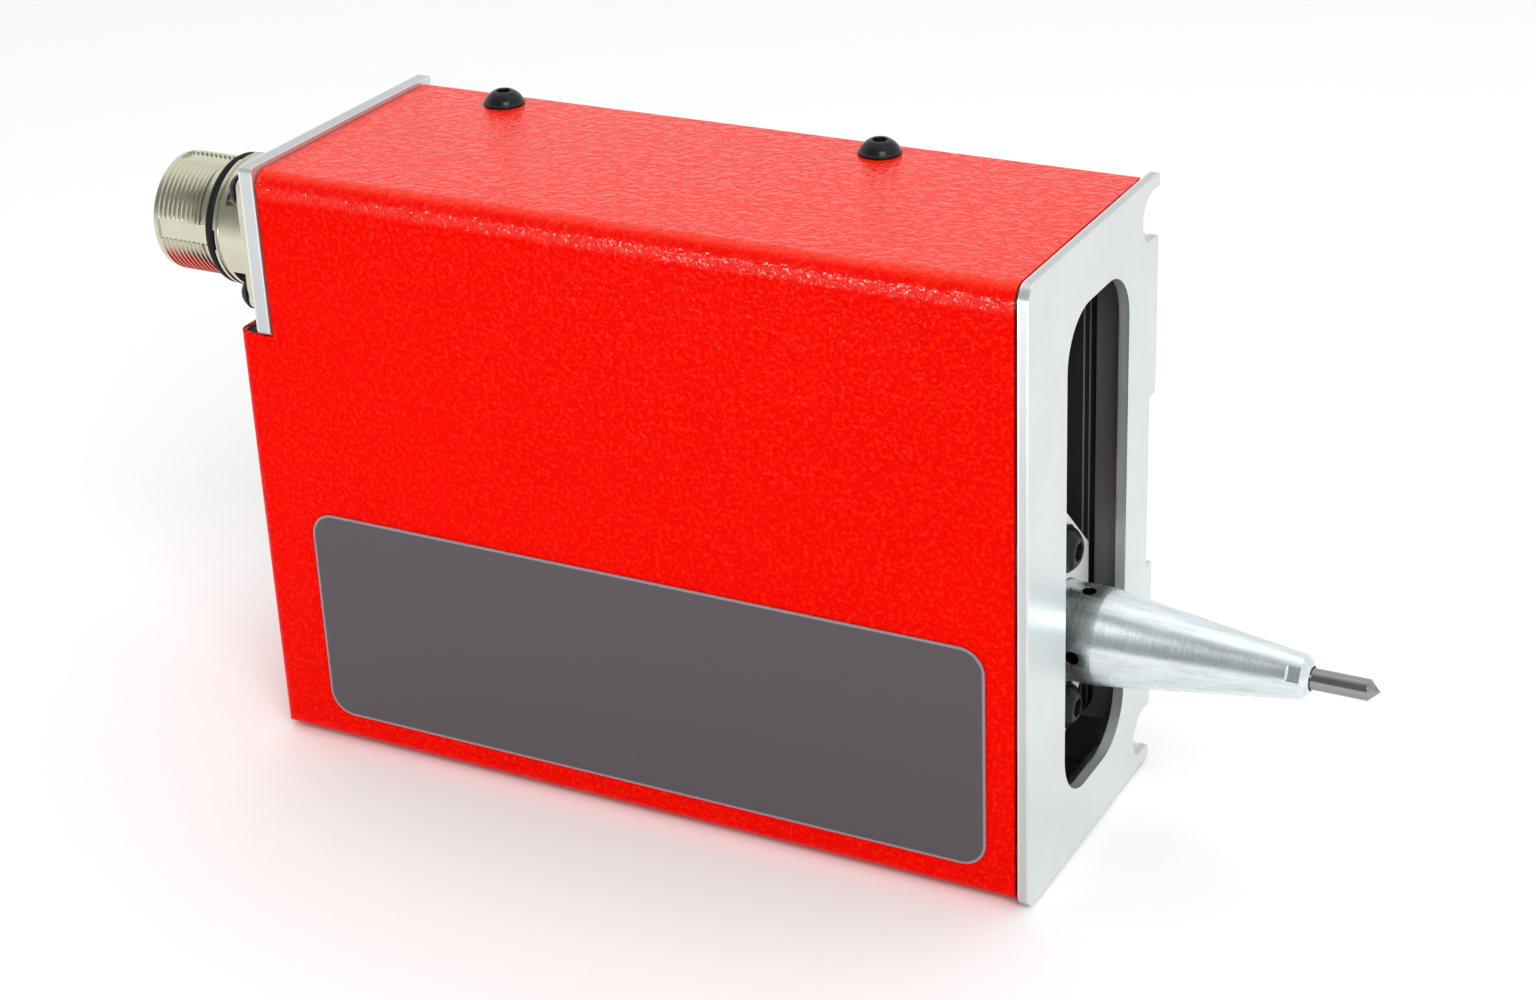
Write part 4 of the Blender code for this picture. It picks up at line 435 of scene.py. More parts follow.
def film_finish(colours, low, high, corner):
    """Matt printed film with a fine grain and a thin paler line at its cut edge."""
    made = Finish("dark_film", colours.panel, 0.62)
    middle = (low + high) / 2
    half = (high - low) / 2
    x, _, z = made.axes(move=(-middle.x, 0, -middle.z))
    over_x = (x.size() - (half.x - corner)).most(0.0)
    over_z = (z.size() - (half.z - corner)).most(0.0)
    reach = (over_x * over_x + over_z * over_z) ** 0.5
    wobble = made.noise(0.0012, 3.0, 0.7)
    border = (reach + wobble * 0.00035).over(corner - 0.00042, corner - 0.00016)
    grain = made.noise(0.00030, 2.0, 0.7)
    shade = made.mix(border * 0.75, made.tinted(grain, colours.panel, 0.80, 1.22), (0.30, 0.25, 0.27))
    return made.surface(shade, grain * 0.16 + 0.52, grain + border * 0.4, 0.00003, 0.45)


def plain_finish(name, colour, roughness, metallic=0.0, **constants):
    """A moulded, ground or cast surface: slight clouds, slight grain."""
    made = Finish(name, colour, roughness, metallic, **constants)
    cloud = made.noise(0.007, 3.0, 0.55)
    grain = made.noise(0.0005, 3.0, 0.6)
    rough = grain * 0.14 + cloud * 0.08 + max(roughness - 0.11, 0.05)
    return made.surface(made.tinted(cloud, colour, 0.82, 1.14), rough, grain, SCRATCH, 0.4)


def ridged_finish(name, colour, pitch, depth, move, turn=(0, 0, 0), spiral=True):
    """Metal with a thread or plain rings round Z, once the piece is moved and turned there; its grooves are
    painted darker as painted shade and its ridges a little lighter as painted highlight.
    """
    made = Finish(name, colour, 0.45, 1.0)
    x, y, z = made.axes(move=move, turn=turn)
    phase = z * (FULL_TURN / pitch)
    if spiral:
        phase = phase + y.bearing(x)
    ridge = phase.wave() * 0.5 + 0.5
    # Painted shade and highlight: darker in the grooves, a little lighter on the ridges of the bumped thread
    return made.surface(made.tinted(ridge, colour, 0.35, 1.1), 0.45 - ridge * 0.2, ridge, depth, 0.9)


def board_finish():
    """Green lacquer with copper tracks under it and bare pads."""
    made = Finish("circuit_board", (0.02, 0.16, 0.07), 0.35, coat_weight=0.4, coat_roughness=0.2)
    settings = {"offset": 0.37, "squash": 0.6, "squash_frequency": 3}
    sockets = {"Vector": made.place(turn=(RIGHT_ANGLE, 0, 0)), "Scale": 260.0, "Mortar Size": 0.06}
    sockets |= {"Mortar Smooth": 0.1, "Brick Width": 1.4, "Row Height": 0.5}
    tracks = made.node("ShaderNodeTexBrick", settings, sockets, 1)
    pads = 1 - made.cells(0.0025).over(0.10, 0.16)
    lacquer = made.mix(tracks, (0.012, 0.11, 0.045), (0.03, 0.22, 0.10))
    made.give("Metallic", pads * 0.9)
    return made.surface(made.mix(pads, lacquer, (0.75, 0.66, 0.42)), 0.35, tracks + pads, 0.00004, 0.5)


# Shapes


def node_box(name):
    """A CAD node's lowest and highest corners."""
    low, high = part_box(name)
    return Vector(low), Vector(high)


def node_middle(name):
    low, high = node_box(name)
    return (low + high) / 2


def shown(name, data):
    """Makes a mesh, lamp or camera an object of the scene."""
    made = bpy.data.objects.new(name, data)
    bpy.context.scene.collection.objects.link(made)
    return made


def linked(name, work):
    """Makes a bmesh an object of the scene."""
    mesh = bpy.data.meshes.new(name)
    work.to_mesh(mesh)
    work.free()
    return shown(name, mesh)


def finished(name, work, finish, body, *replaced, edge=0.0, segments=2):
    """Turns a bmesh into a piece at the origin that rides on a body and stands for its CAD nodes."""
    made = linked(name, closed_up(work))
    made.data.materials.append(finish)
    dress(made, edge, segments)
    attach(made, body)
    if replaced:
        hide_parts(*replaced)
    return made


def dress(made, edge, segments):
    """Shades a piece smooth between its creases and softens them by an edge's width."""
    made.data.shade_smooth()
    made.data.set_sharp_from_angle(angle=CREASE)
    if edge:
        soften = made.modifiers.new("edges", "BEVEL")
        soften.width = edge
        soften.segments = segments
        soften.limit_method = "ANGLE"
        soften.angle_limit = SOFTENED
        soften.harden_normals = True
        soften.use_clamp_overlap = True


def closed_up(work):
    """Merges points that lie on each other and turns every face outwards."""
    bmesh.ops.remove_doubles(work, verts=work.verts, dist=1e-7)
    bmesh.ops.recalc_face_normals(work, faces=work.faces)
    return work


def laid(work, matrix):
    """Moves a whole bmesh."""
    bmesh.ops.transform(work, matrix=matrix, verts=work.verts)
    return work


def shift(x, y, z):
    return Matrix.Translation((x, y, z))


def toward(axis, spot):
    """Lays local Z along a direction and moves it to a spot."""
    turn = Vector(UPWARD).rotation_difference(Vector(axis)).to_matrix().to_4x4()
    return Matrix.Translation(spot) @ turn


def bevelled(work, geom, offset, segments, affect="EDGES"):
    settings = {"offset": offset, "segments": segments, "affect": affect, "profile": 0.5, "material": -1}
    bmesh.ops.bevel(work, geom=geom, **settings)
    return work


def spun(work, geom, steps, angle=FULL_TURN, climb=0.0, use_merge=False):
    """Spins points and edges round Z, with a climb at each step."""
    path = {"cent": (0, 0, 0), "axis": UPWARD, "dvec": (0, 0, climb), "angle": angle, "steps": steps}
    bmesh.ops.spin(work, geom=geom, use_merge=use_merge, **path)
    return work


def slab(low, high, corner=0.0, steps=8, axis=0, corners=(1, 1, 1, 1)):
    """A plate between two corners, square to an axis, with chosen outline corners rounded."""
    low, high = Vector(low), Vector(high)
    first, second = [index for index in range(3) if index != axis]
    work = bmesh.new()
    points = []
    for a, b in ((low, low), (high, low), (high, high), (low, high)):
        point = low.copy()
        point[first], point[second] = a[first], b[second]
        points.append(work.verts.new(point))
    work.faces.new(points)
    if corner:
        rounded = [vertex for vertex, wanted in zip(points, corners) if wanted]
        bevelled(work, rounded, corner, steps, "VERTICES")
    pushed = bmesh.ops.extrude_face_region(work, geom=list(work.faces))
    moved = [item for item in pushed["geom"] if isinstance(item, bmesh.types.BMVert)]
    thickness = Vector()
    thickness[axis] = high[axis] - low[axis]
    bmesh.ops.translate(work, verts=moved, vec=thickness)
    return closed_up(work)


def lathe(profile, steps, closed=False):
    """A profile of (radius, height) spun round Z."""
    work = bmesh.new()
    rail = [work.verts.new((radius, 0, height)) for radius, height in profile]
    pairs = list(zip(rail, rail[1:])) + ([(rail[-1], rail[0])] if closed else [])
    edges = [work.edges.new(pair) for pair in pairs]
    return closed_up(spun(work, rail + edges, steps, use_merge=True))


def rod(radius, length, steps):
    """A rod, or a bar of few sides, from the origin up Z."""
    work = bmesh.new()
    bmesh.ops.create_cone(work, cap_ends=True, segments=steps, radius1=radius, radius2=radius, depth=length)
    return laid(work, shift(0, 0, length / 2))


def drill(radius, face, spot, steps, before=0.003, length=0.01):
    """A drill along X that starts before a face and passes it at a spot."""
    return laid(rod(radius, length, steps), toward(FORWARD, (face - before, spot.y, spot.z)))


def carved(work, tools, operation="DIFFERENCE"):
    """One shape less other shapes, or joined with them."""
    for tool in tools:
        body, cutter = linked("body", work), linked("cutter", tool)
        step = body.modifiers.new("step", "BOOLEAN")
        step.operation = operation
        step.solver = "EXACT"
        step.object = cutter
        work = bmesh.new()
        work.from_object(body, bpy.context.evaluated_depsgraph_get())
        for made in (body, cutter):
            bpy.data.objects.remove(made, do_unlink=True)
    return work


def joined(shapes):
    """Many shapes as one bmesh, each left as it is."""
    work = bmesh.new()
    for shape in shapes:
        mesh = bpy.data.meshes.new("part")
        shape.to_mesh(mesh)
        shape.free()
        work.from_mesh(mesh)
        bpy.data.meshes.remove(mesh)
    return work


def round_points(size, count, across=0.0, up=0.0):
    """Points evenly round a circle."""
    angles = [FULL_TURN * step / count for step in range(count)]
    return [(across + size * math.cos(angle), up + size * math.sin(angle)) for angle in angles]


def soft_box(low, high, bend, steps, rear_too):
    """A box with its two near long edges rounded, and its near rear edge where asked."""
    low, high = Vector(low), Vector(high)
    middle = (low + high) / 2
    work = bmesh.new()
    bmesh.ops.create_cube(work, size=1)
    laid(work, Matrix.Translation(middle) @ Matrix.Diagonal((*(high - low), 1)))
    chosen = []
    for edge in work.edges:
        first, last = [vertex.co for vertex in edge.verts]
        centre = (first + last) / 2
        along = (first - last).normalized()
        lengthwise = abs(along.x) > 0.9 and centre.y < middle.y
        upright = abs(along.z) > 0.9 and centre.y < middle.y and centre.x < middle.x
        if lengthwise or (upright and rear_too):
            chosen.append(edge)
    return bevelled(work, chosen, bend, steps)


def button_screw(head, rise, shank, length, socket):
    """A low domed screw with a thin flange and a six-sided socket, its seat at zero, the head up."""
    rim = rise * 0.24
    lip = socket * 1.45
    shoulder = head * 0.93
    profile = [(0, rise)]
    for step in range(9):
        share = step / 8
        lift = (1 - share) * 0.5 + math.sqrt(1 - share * share) * 0.5
        profile.append((lip + (shoulder - lip) * share, rim + (rise - rim) * lift))
    profile += [(head, rim * 0.8), (head, 0.0), (shank, 0.0), (shank, -length), (0, -length)]
    hexagon = rod(socket / math.cos(math.pi / 6), rise, 6)
    return carved(lathe(profile, 48), [laid(hexagon, shift(0, 0, rise * 0.3))])


def clamping_groove(low, high, sizes, upper):
    """A clamping groove of the far side, as a cutter that passes through a plate."""
    corner = node_box("front_plate")[1]
    start = corner.z - sizes.groove_lip - sizes.groove if upper else sizes.groove_lip
    first = (low.x - CLEAR, corner.y - sizes.groove_depth, start)
    last = (high.x + CLEAR, corner.y + sizes.groove_depth, start + sizes.groove)
    return slab(first, last, sizes.groove / 2 * 0.9999, 12)


def far_cutters(low, high, sizes):
    """Both clamping grooves and the relief between them."""
    corner = node_box("front_plate")[1]
    middle = corner.z / 2
    first = (low.x - CLEAR, corner.y - sizes.relief_depth, middle - sizes.relief / 2)
    last = (high.x + CLEAR, corner.y + sizes.relief_depth, middle + sizes.relief / 2)
    return [*(clamping_groove(low, high, sizes, upper) for upper in (False, True)), slab(first, last)]


def thread(head, radius, low, high):
    """A helical thread between two heights, closed at its flat ends."""
    pitch = head.thread_pitch
    depth = head.thread_depth * 1.05
    start = low - pitch * 2
    shares = ((0.0, 0.0), (0.14, 0.0), (0.42, 1.0), (0.58, 1.0), (0.86, 0.0))
    work = bmesh.new()
    rail = []
    for turn in range(int((high - low) / pitch) + 3):
        for share, lift in shares:
            rail.append(work.verts.new((radius - depth + depth * lift, 0, start + (turn + share) * pitch)))
    edges = [work.edges.new(pair) for pair in zip(rail, rail[1:])]
    spun(work, rail + edges, head.facets, climb=pitch / head.facets)
    bmesh.ops.remove_doubles(work, verts=work.verts, dist=1e-6)
    for height, side in ((low, -1), (high, 1)):
        whole = work.verts[:] + work.edges[:] + work.faces[:]
        plane = {"plane_co": (0, 0, height), "plane_no": (0, 0, side)}
        found = bmesh.ops.bisect_plane(work, geom=whole, clear_outer=True, **plane)
        rim = [item for item in found["geom_cut"] if isinstance(item, bmesh.types.BMEdge)]
        bmesh.ops.contextual_create(work, geom=rim)
    return closed_up(work)


# Pieces


class PieceOperator(bpy.types.Operator):
    """Hands the settings to the operators."""

    def sizes(self):
        return bpy.context.scene.marker_housing

    def head(self):
        return bpy.context.scene.marker_head

    def colours(self):
        return bpy.context.scene.marker_finishes


class MARKER_OT_front_plate(PieceOperator):
    """Thin front plate with its window, grooves and relief"""

    bl_idname = "marker.front_plate"
    bl_label = "Front plate"

    def execute(self, context):
        sizes = self.sizes()
        low, high = node_box("front_plate")
        near = low.y + sizes.window_near
        bottom = (low.z + high.z - sizes.window_height) / 2
        first = (low.x - CLEAR, near, bottom)
        last = (high.x + CLEAR, near + sizes.window_width, bottom + sizes.window_height)
        window = slab(first, last, sizes.window_corner, 18)
        plate = slab(low, high, sizes.plate_corner, 10, corners=NEAR_CORNERS)
        work = carved(plate, [window, *far_cutters(low, high, sizes)])
        faces = (low.x, high.x)
        finish = milled_finish(self.colours(), "front_plate_aluminium", (1, 1, 0.03), 0.34, 0.82, faces)
        finished("front_panel", work, finish, "housing", "front_plate", edge=sizes.edge, segments=3)
        return {"FINISHED"}


class MARKER_OT_rear_plate(PieceOperator):
    """Rear plate that carries the connector"""

    bl_idname = "marker.rear_plate"
    bl_label = "Rear plate"

    def execute(self, context):
        sizes = self.sizes()
        low, high = node_box("rear_plate")
        neck, small, large = 0.0103, 0.0018, 0.0023
        tools = [drill(neck, low.x, node_middle("connector_insert"), 64)]
        tools += [drill(small, low.x, node_middle(name), 24) for name in CONNECTOR_SCREWS]
        tools += [drill(large, low.x, node_middle(name), 24) for name in REAR_SCREWS]
        tools.append(clamping_groove(low, high, sizes, True))
        work = carved(slab(low, high, 0.001, 4, corners=NEAR_CORNERS), tools)
        faces = (low.x, high.x)
        finish = milled_finish(self.colours(), "rear_plate_aluminium", (1, 0.03, 1), 0.34, 0.80, faces)
        finished("rear_panel", work, finish, "housing", "rear_plate", edge=sizes.edge)
        return {"FINISHED"}


class MARKER_OT_base_plate(PieceOperator):
    """Thick far wall with its grooves, relief and inner pocket"""

    bl_idname = "marker.base_plate"
    bl_label = "Base plate"

    def execute(self, context):
        sizes = self.sizes()
        low, high = node_box("base_plate")
        step = node_box("rear_plate")[0]
        rail_low, rail_high = node_box("z_rail")
        floor, play, rear_wall = rail_high.y + SEAM, 0.001, 0.0123
        first = (low.x + rear_wall, low.y - CLEAR, rail_low.z - play)
        last = (high.x - POCKET_WALL, floor, rail_high.z + play)
        pocket = slab(first, last, 0.005, 6, axis=1)
        first = (low.x - CLEAR, low.y - CLEAR, step.z - 0.0016)
        last = (step.x + 0.0033, high.y + CLEAR, high.z + CLEAR)
        work = carved(slab(low, high), [*far_cutters(low, high, sizes), pocket, slab(first, last)])
        finish = base_finish(self.colours(), low, high, floor + 0.0001, sizes.window_height)
        finished("base_wall", work, finish, "housing", "base_plate", edge=0.0002)
        return {"FINISHED"}


class MARKER_OT_cover(PieceOperator):
    """Folded sheet cover with its textured paint"""

    bl_idname = "marker.cover"
    bl_label = "Cover"

    def execute(self, context):
        sizes = self.sizes()
        sheet, steps = sizes.sheet, sizes.bend_steps
        inner = sizes.bend - sheet
        low, high = node_box("cover")
        near, beneath = low.y + sheet, low.z + sheet
        beyond = high.y + 2 * CLEAR
        step = node_box("rear_plate")[0]
        rear = step.x + 0.003
        lip = step.z - SEAM
        outer = soft_box(low, high, sizes.bend, steps, True)
        first, last = (rear, near, beneath), (high.x + 2 * CLEAR, beyond, high.z - sheet)
        main = soft_box(first, last, inner, steps, False)
        first, last = (low.x + sheet, near, beneath), (rear + CLEAR, beyond, lip - sheet)
        foot = soft_box(first, last, inner, steps, True)
        notch = slab((low.x - CLEAR, low.y - CLEAR, lip), (rear + SEAM, beyond, high.z + CLEAR))
        work = carved(outer, [main, foot, notch])
        finish = paint_finish(self.colours(), low, high, sizes.bend)
        finished("painted_cover", work, finish, "housing", "cover", edge=0.00022)
        return {"FINISHED"}


class MARKER_OT_name_panel(PieceOperator):
    """Bare film panel on the near side"""

    bl_idname = "marker.name_panel"
    bl_label = "Name panel"

    def execute(self, context):
        low, high = node_box("name_panel")
        corner = self.sizes().panel_corner
        finish = film_finish(self.colours(), low, high, corner)
        work = slab(low, high, corner, 16, axis=1)
        finished("film_panel", work, finish, "housing", "name_panel", edge=0.00008)
        return {"FINISHED"}


class MARKER_OT_screws(PieceOperator):
    """Button-headed and flat-headed screws of the housing and the head"""

    bl_idname = "marker.screws"
    bl_label = "Screws"

    def execute(self, context):
        black = black_finish(self.colours())
        for word in ("front", "rear"):
            self.button(f"cover_screw_top_{word}", UPWARD, "housing", black, COVER_BUTTON)
            self.flat(f"cover_screw_bottom_{word}", black)
        for rear, front in zip(REAR_SCREWS, FLANGE_SCREWS):
            self.button(rear, REARWARD, "housing", black, REAR_BUTTON)
            self.button(front, FORWARD, "y_slide", black, FLANGE_BUTTON)
        for name in CONNECTOR_SCREWS:
            self.button(name, REARWARD, "housing", black, CONNECTOR_BUTTON)
        return {"FINISHED"}

    def button(self, name, axis, body, finish, sizes):
        """A domed screw that fills its node's box, with its head toward the axis."""
        rise, shank, socket = sizes
        low, high = node_box(name)
        axis = Vector(axis)
        ahead, behind = (high, low) if sum(axis) > 0 else (low, high)
        reach = (ahead - behind).dot(axis)
        seat = (low + high) / 2 + axis * (reach / 2 - rise)
        across = max((high - low)[index] for index in range(3) if not axis[index])
        work = button_screw(across / 2, rise, shank, reach - rise, socket)
        finished(f"{name}_head", laid(work, toward(axis, seat)), finish, body, name, edge=0.0001)

    def flat(self, name, finish):
        """A countersunk screw whose face looks down."""
        low, high = node_box(name)
        middle = (low + high) / 2
        radius = (high.x - low.x) / 2
        length = high.z - low.z
        shank, socket, depth = 0.0015, 0.00145, 0.0012
        work = lathe([(0, 0), (radius, 0), (shank, shank - radius), (shank, -length), (0, -length)], 48)
        work = carved(work, [laid(rod(socket, 0.003, 6), shift(0, 0, -depth))])
        laid(work, toward(DOWNWARD, (middle.x, middle.y, low.z)))
        finished(f"{name}_head", work, finish, "housing", name, edge=0.00008)


class MARKER_OT_connector(PieceOperator):
    """Plated connector with its thread, seal, insert and pins"""

    bl_idname = "marker.connector"
    bl_label = "Connector"

    def execute(self, context):
        low, high = node_box("connector_shell")
        middle = node_middle("connector_insert")
        seat = node_box("rear_plate")[0].x - SEAM
        spot = Vector((seat, middle.y, middle.z))
        head = self.head()
        # Local Z points to the rear, X across and Y down
        turn = Matrix(((0, 0, -1, 0), (1, 0, 0, 0), (0, -1, 0, 0), (0, 0, 0, 1)))
        lay = Matrix.Translation(spot) @ turn
        shell = laid(self.shell(spot, seat - low.x, seat - high.x, head), lay)
        nickel = plated_finish(self.colours())
        finished("plated_shell", shell, nickel, "housing", "connector_shell", edge=0.00006, segments=1)
        seal = lathe(round_points(0.00098, 20, 0.01172, 0.0102), head.facets, closed=True)
        rubber = plain_finish("seal_rubber", (0.006, 0.006, 0.007), 0.5, specular_ior_level=0.15)
        finished("seal_ring", laid(seal, lay), rubber, "housing", "connector_seal")
        self.inside(lay)
        return {"FINISHED"}

    def shell(self, spot, reach, foot, head):
        """Flange, collar and threaded barrel, from the seat at zero up to the reach, with a foot below."""
        radius, collar, groove = 0.0115, 0.0128, 0.0106
        root = radius - head.thread_depth
        profile = [
            (0, foot), (0.0100, foot), (0.0100, 0.001), (collar, 0.001),
            (collar, 0.0074), (collar - 0.0004, 0.0076), (collar - 0.0004, 0.0081), (collar, 0.0083),
            (collar, 0.0089), (collar - 0.0003, 0.0092), (groove, 0.0092), (groove, 0.0112),
            (radius - 0.0003, 0.0112), (radius, 0.0115), (radius, 0.0122), (root, 0.0125),
            (root, reach - 0.0019), (radius - 0.0001, reach - 0.0017), (radius - 0.0001, reach - 0.0008),
            (radius - 0.0009, reach), (0, reach),
        ]
        offsets = [node_middle(name) - spot for name in CONNECTOR_SCREWS]
        places = [shift(offset.y, -offset.z, -CLEAR) for offset in offsets]
        pockets = [laid(rod(0.0036, 0.0086, 40), place) for place in places]
        shell = carved(lathe(profile, head.facets), pockets)
        half, thick = 0.01325, 0.002
        flange = slab((-half, -half, 0), (half, half, thick), 0.0025, 6, axis=2)
        top = [edge for edge in flange.edges if all(abs(v.co.z - thick) < 1e-6 for v in edge.verts)]
        bevelled(flange, top, 0.00025, 2)
        shell = carved(shell, [flange, thread(head, radius, 0.0121, reach - 0.0016)], "UNION")
        narrow, wide, ledge, past = 0.0080, 0.0096, 0.006, reach + CLEAR
        bore = [(0, -0.02), (narrow, -0.02), (narrow, ledge), (wide, ledge), (wide, past), (0, past)]
        tools = [lathe(bore, head.facets)]
        for index, place in enumerate(places):
            slot = slab((0.01095, -0.0020, 0.0085), (0.02, 0.0020, reach - 0.0016))
            tools.append(laid(slot, Matrix.Rotation(RIGHT_ANGLE * index, 4, "Z")))
            tools.append(laid(rod(0.0018, 0.006, 24), place))
        return carved(shell, tools)

    def inside(self, lay):
        """The insert with its rim, wells and contact pins."""
        face, rim, tip = 0.0160, 0.0093, 0.005
        profile = [
            (0, 0.0063), (rim, 0.0063), (rim, face - 0.0004), (rim - 0.0004, face),
            (0.0078, face), (0.0074, face - 0.0005), (0, face - 0.0005),
        ]
        spots = round_points(0.0066, 9) + round_points(0.0026, 3)
        wells = [laid(rod(0.0008, 0.002, 20), shift(x, y, face - 0.0013)) for x, y in spots]
        body = carved(lathe(profile, 64), wells)
        plastic = plain_finish("insert_plastic", (0.02, 0.02, 0.022), 0.45)
        finished("pin_carrier", laid(body, lay), plastic, "housing", "connector_insert")
        gold = plain_finish("contact_gold", (0.83, 0.62, 0.28), 0.22, 1.0)
        profile = [
            (0, face - 0.0016), (0.0005, face - 0.0016), (0.0005, face + tip - 0.0004),
            (0.0003, face + tip), (0, face + tip),
        ]
        pins = joined(laid(lathe(profile, 16), shift(x, y, 0)) for x, y in spots)
        finished("contact_pins", laid(pins, lay), gold, "housing")


class MARKER_OT_nozzle(PieceOperator):
    """Turned conical nozzle with its vent holes and spanner flats"""

    bl_idname = "marker.nozzle"
    bl_label = "Nozzle"

    def execute(self, context):
        low, high = node_box("nozzle")
        head = self.head()
        front = node_box("front_plate")[1].x
        centre = (low + high) / 2
        spot = Vector((front, centre.y, centre.z))
        radius = head.nozzle_radius
        rear, reach = low.x - front, high.x - front
        bore, passage, mouth, collar, vent = 0.0047, 0.0033, 0.0023, 0.0100, 0.00135
        cone_end = reach - 0.0013
        profile = [
            (bore, rear), (collar, rear), (collar, rear + 0.002), (radius, rear + 0.002),
            (radius, 0.0008), (radius - 0.0001, 0.0011), (head.nozzle_tip, cone_end), (0.0027, reach),
            (mouth, reach), (mouth, reach - 0.0056), (passage, reach - 0.0056), (passage, 0.0120),
            (bore, 0.0120),
        ]
        tools = []
        for index in range(4):
            turn = Matrix.Rotation(RIGHT_ANGLE * index + VENT_TURN, 4, "Z") @ ALONG_X
            place = shift(0, 0, -0.0026) @ turn @ shift(0, 0, 0.0040)
            tools.append(laid(rod(vent, 0.006, 28), place))
        for turn in (FLAT_TURN, FLAT_TURN + math.pi):
            flat = slab((0.0038, -0.0014, reach - 0.0038), (0.009, 0.0014, cone_end))
            tools.append(laid(flat, Matrix.Rotation(turn, 4, "Z")))
        work = carved(lathe(profile, head.facets, closed=True), tools)
        laid(work, Matrix.Translation(spot) @ ALONG_X @ Matrix.Rotation(RIGHT_ANGLE, 4, "Z"))
        metal = (0.71, 0.78, 0.795)
        wall = radius - 0.0002
        finish = turned_finish("nozzle_aluminium", metal, 0.28, 0.16, 0.000012, spot, wall, front)
        finished("turned_nozzle", work, finish, "y_slide", "nozzle", edge=0.00008)
        return {"FINISHED"}


class MARKER_OT_striker(PieceOperator):
    """Stylus with its ground point, and the return spring"""

    bl_idname = "marker.striker"
    bl_label = "Striker"

    def execute(self, context):
        low, high = node_box("stylus")
        centre = (low + high) / 2
        radius = self.head().stylus_radius
        profile = [
            (0, low.x), (radius - 0.0002, low.x), (radius, low.x + 0.0002),
            (radius, high.x - radius), (0.00012, high.x - 0.00012), (0, high.x),
        ]
        work = laid(lathe(profile, 64), shift(0, centre.y, centre.z) @ ALONG_X)
        finish = turned_finish("ground_carbide", (0.30, 0.30, 0.295), 0.20, 0.25, 0.000004)
        finished("ground_stylus", work, finish, "striker", "stylus", edge=0.00004)
        self.spring()
        return {"FINISHED"}

    def spring(self):
        low, high = node_box("return_spring")
        centre = (low + high) / 2
        wire, facets = 0.00035, 24
        radius = (high.z - low.z) / 2 - wire
        turns = self.head().turns
        pitch = (high.x - low.x - 2 * wire) / turns
        work = bmesh.new()
        bmesh.ops.create_circle(work, radius=wire, segments=12)
        laid(work, shift(radius, 0, wire) @ Matrix.Rotation(RIGHT_ANGLE, 4, "X"))
        spun(work, work.verts[:] + work.edges[:], facets * turns, FULL_TURN * turns, pitch / facets)
        bmesh.ops.holes_fill(work, edges=work.edges)
        laid(work, shift(low.x, centre.y, centre.z) @ ALONG_X)
        steel = plain_finish("spring_steel", (0.45, 0.45, 0.44), 0.3, 1.0)
        made = finished("coil_spring", work, steel, "y_slide", "return_spring")
        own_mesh(made)


class MARKER_OT_carriage(PieceOperator):
    """Flange plate and head block that carry the nozzle"""

    bl_idname = "marker.carriage"
    bl_label = "Carriage"

    def execute(self, context):
        nozzle = node_middle("nozzle")
        low, high = node_box("flange_plate")
        tools = [drill(0.0094, low.x, nozzle, 72)]
        tools += [drill(0.0028, low.x, node_middle(name), 32) for name in FLANGE_SCREWS]
        work = carved(slab(low, high, 0.0108, 1), tools)
        finish = plain_finish("flange_aluminium", (0.93, 0.94, 0.94), 0.35, 0.1)
        finished("nozzle_flange", work, finish, "y_slide", "flange_plate", edge=0.0003, segments=3)
        low, high = node_box("head_block")
        work = carved(slab(low, high, 0.0015, 6), [drill(0.0114, low.x, nozzle, 72, 0.01, 0.06)])
        finish = plain_finish("block_aluminium", (0.05, 0.047, 0.046), 0.4, 0.5)
        finished("magnet_housing", work, finish, "y_slide", "head_block", edge=0.0003)
        return {"FINISHED"}


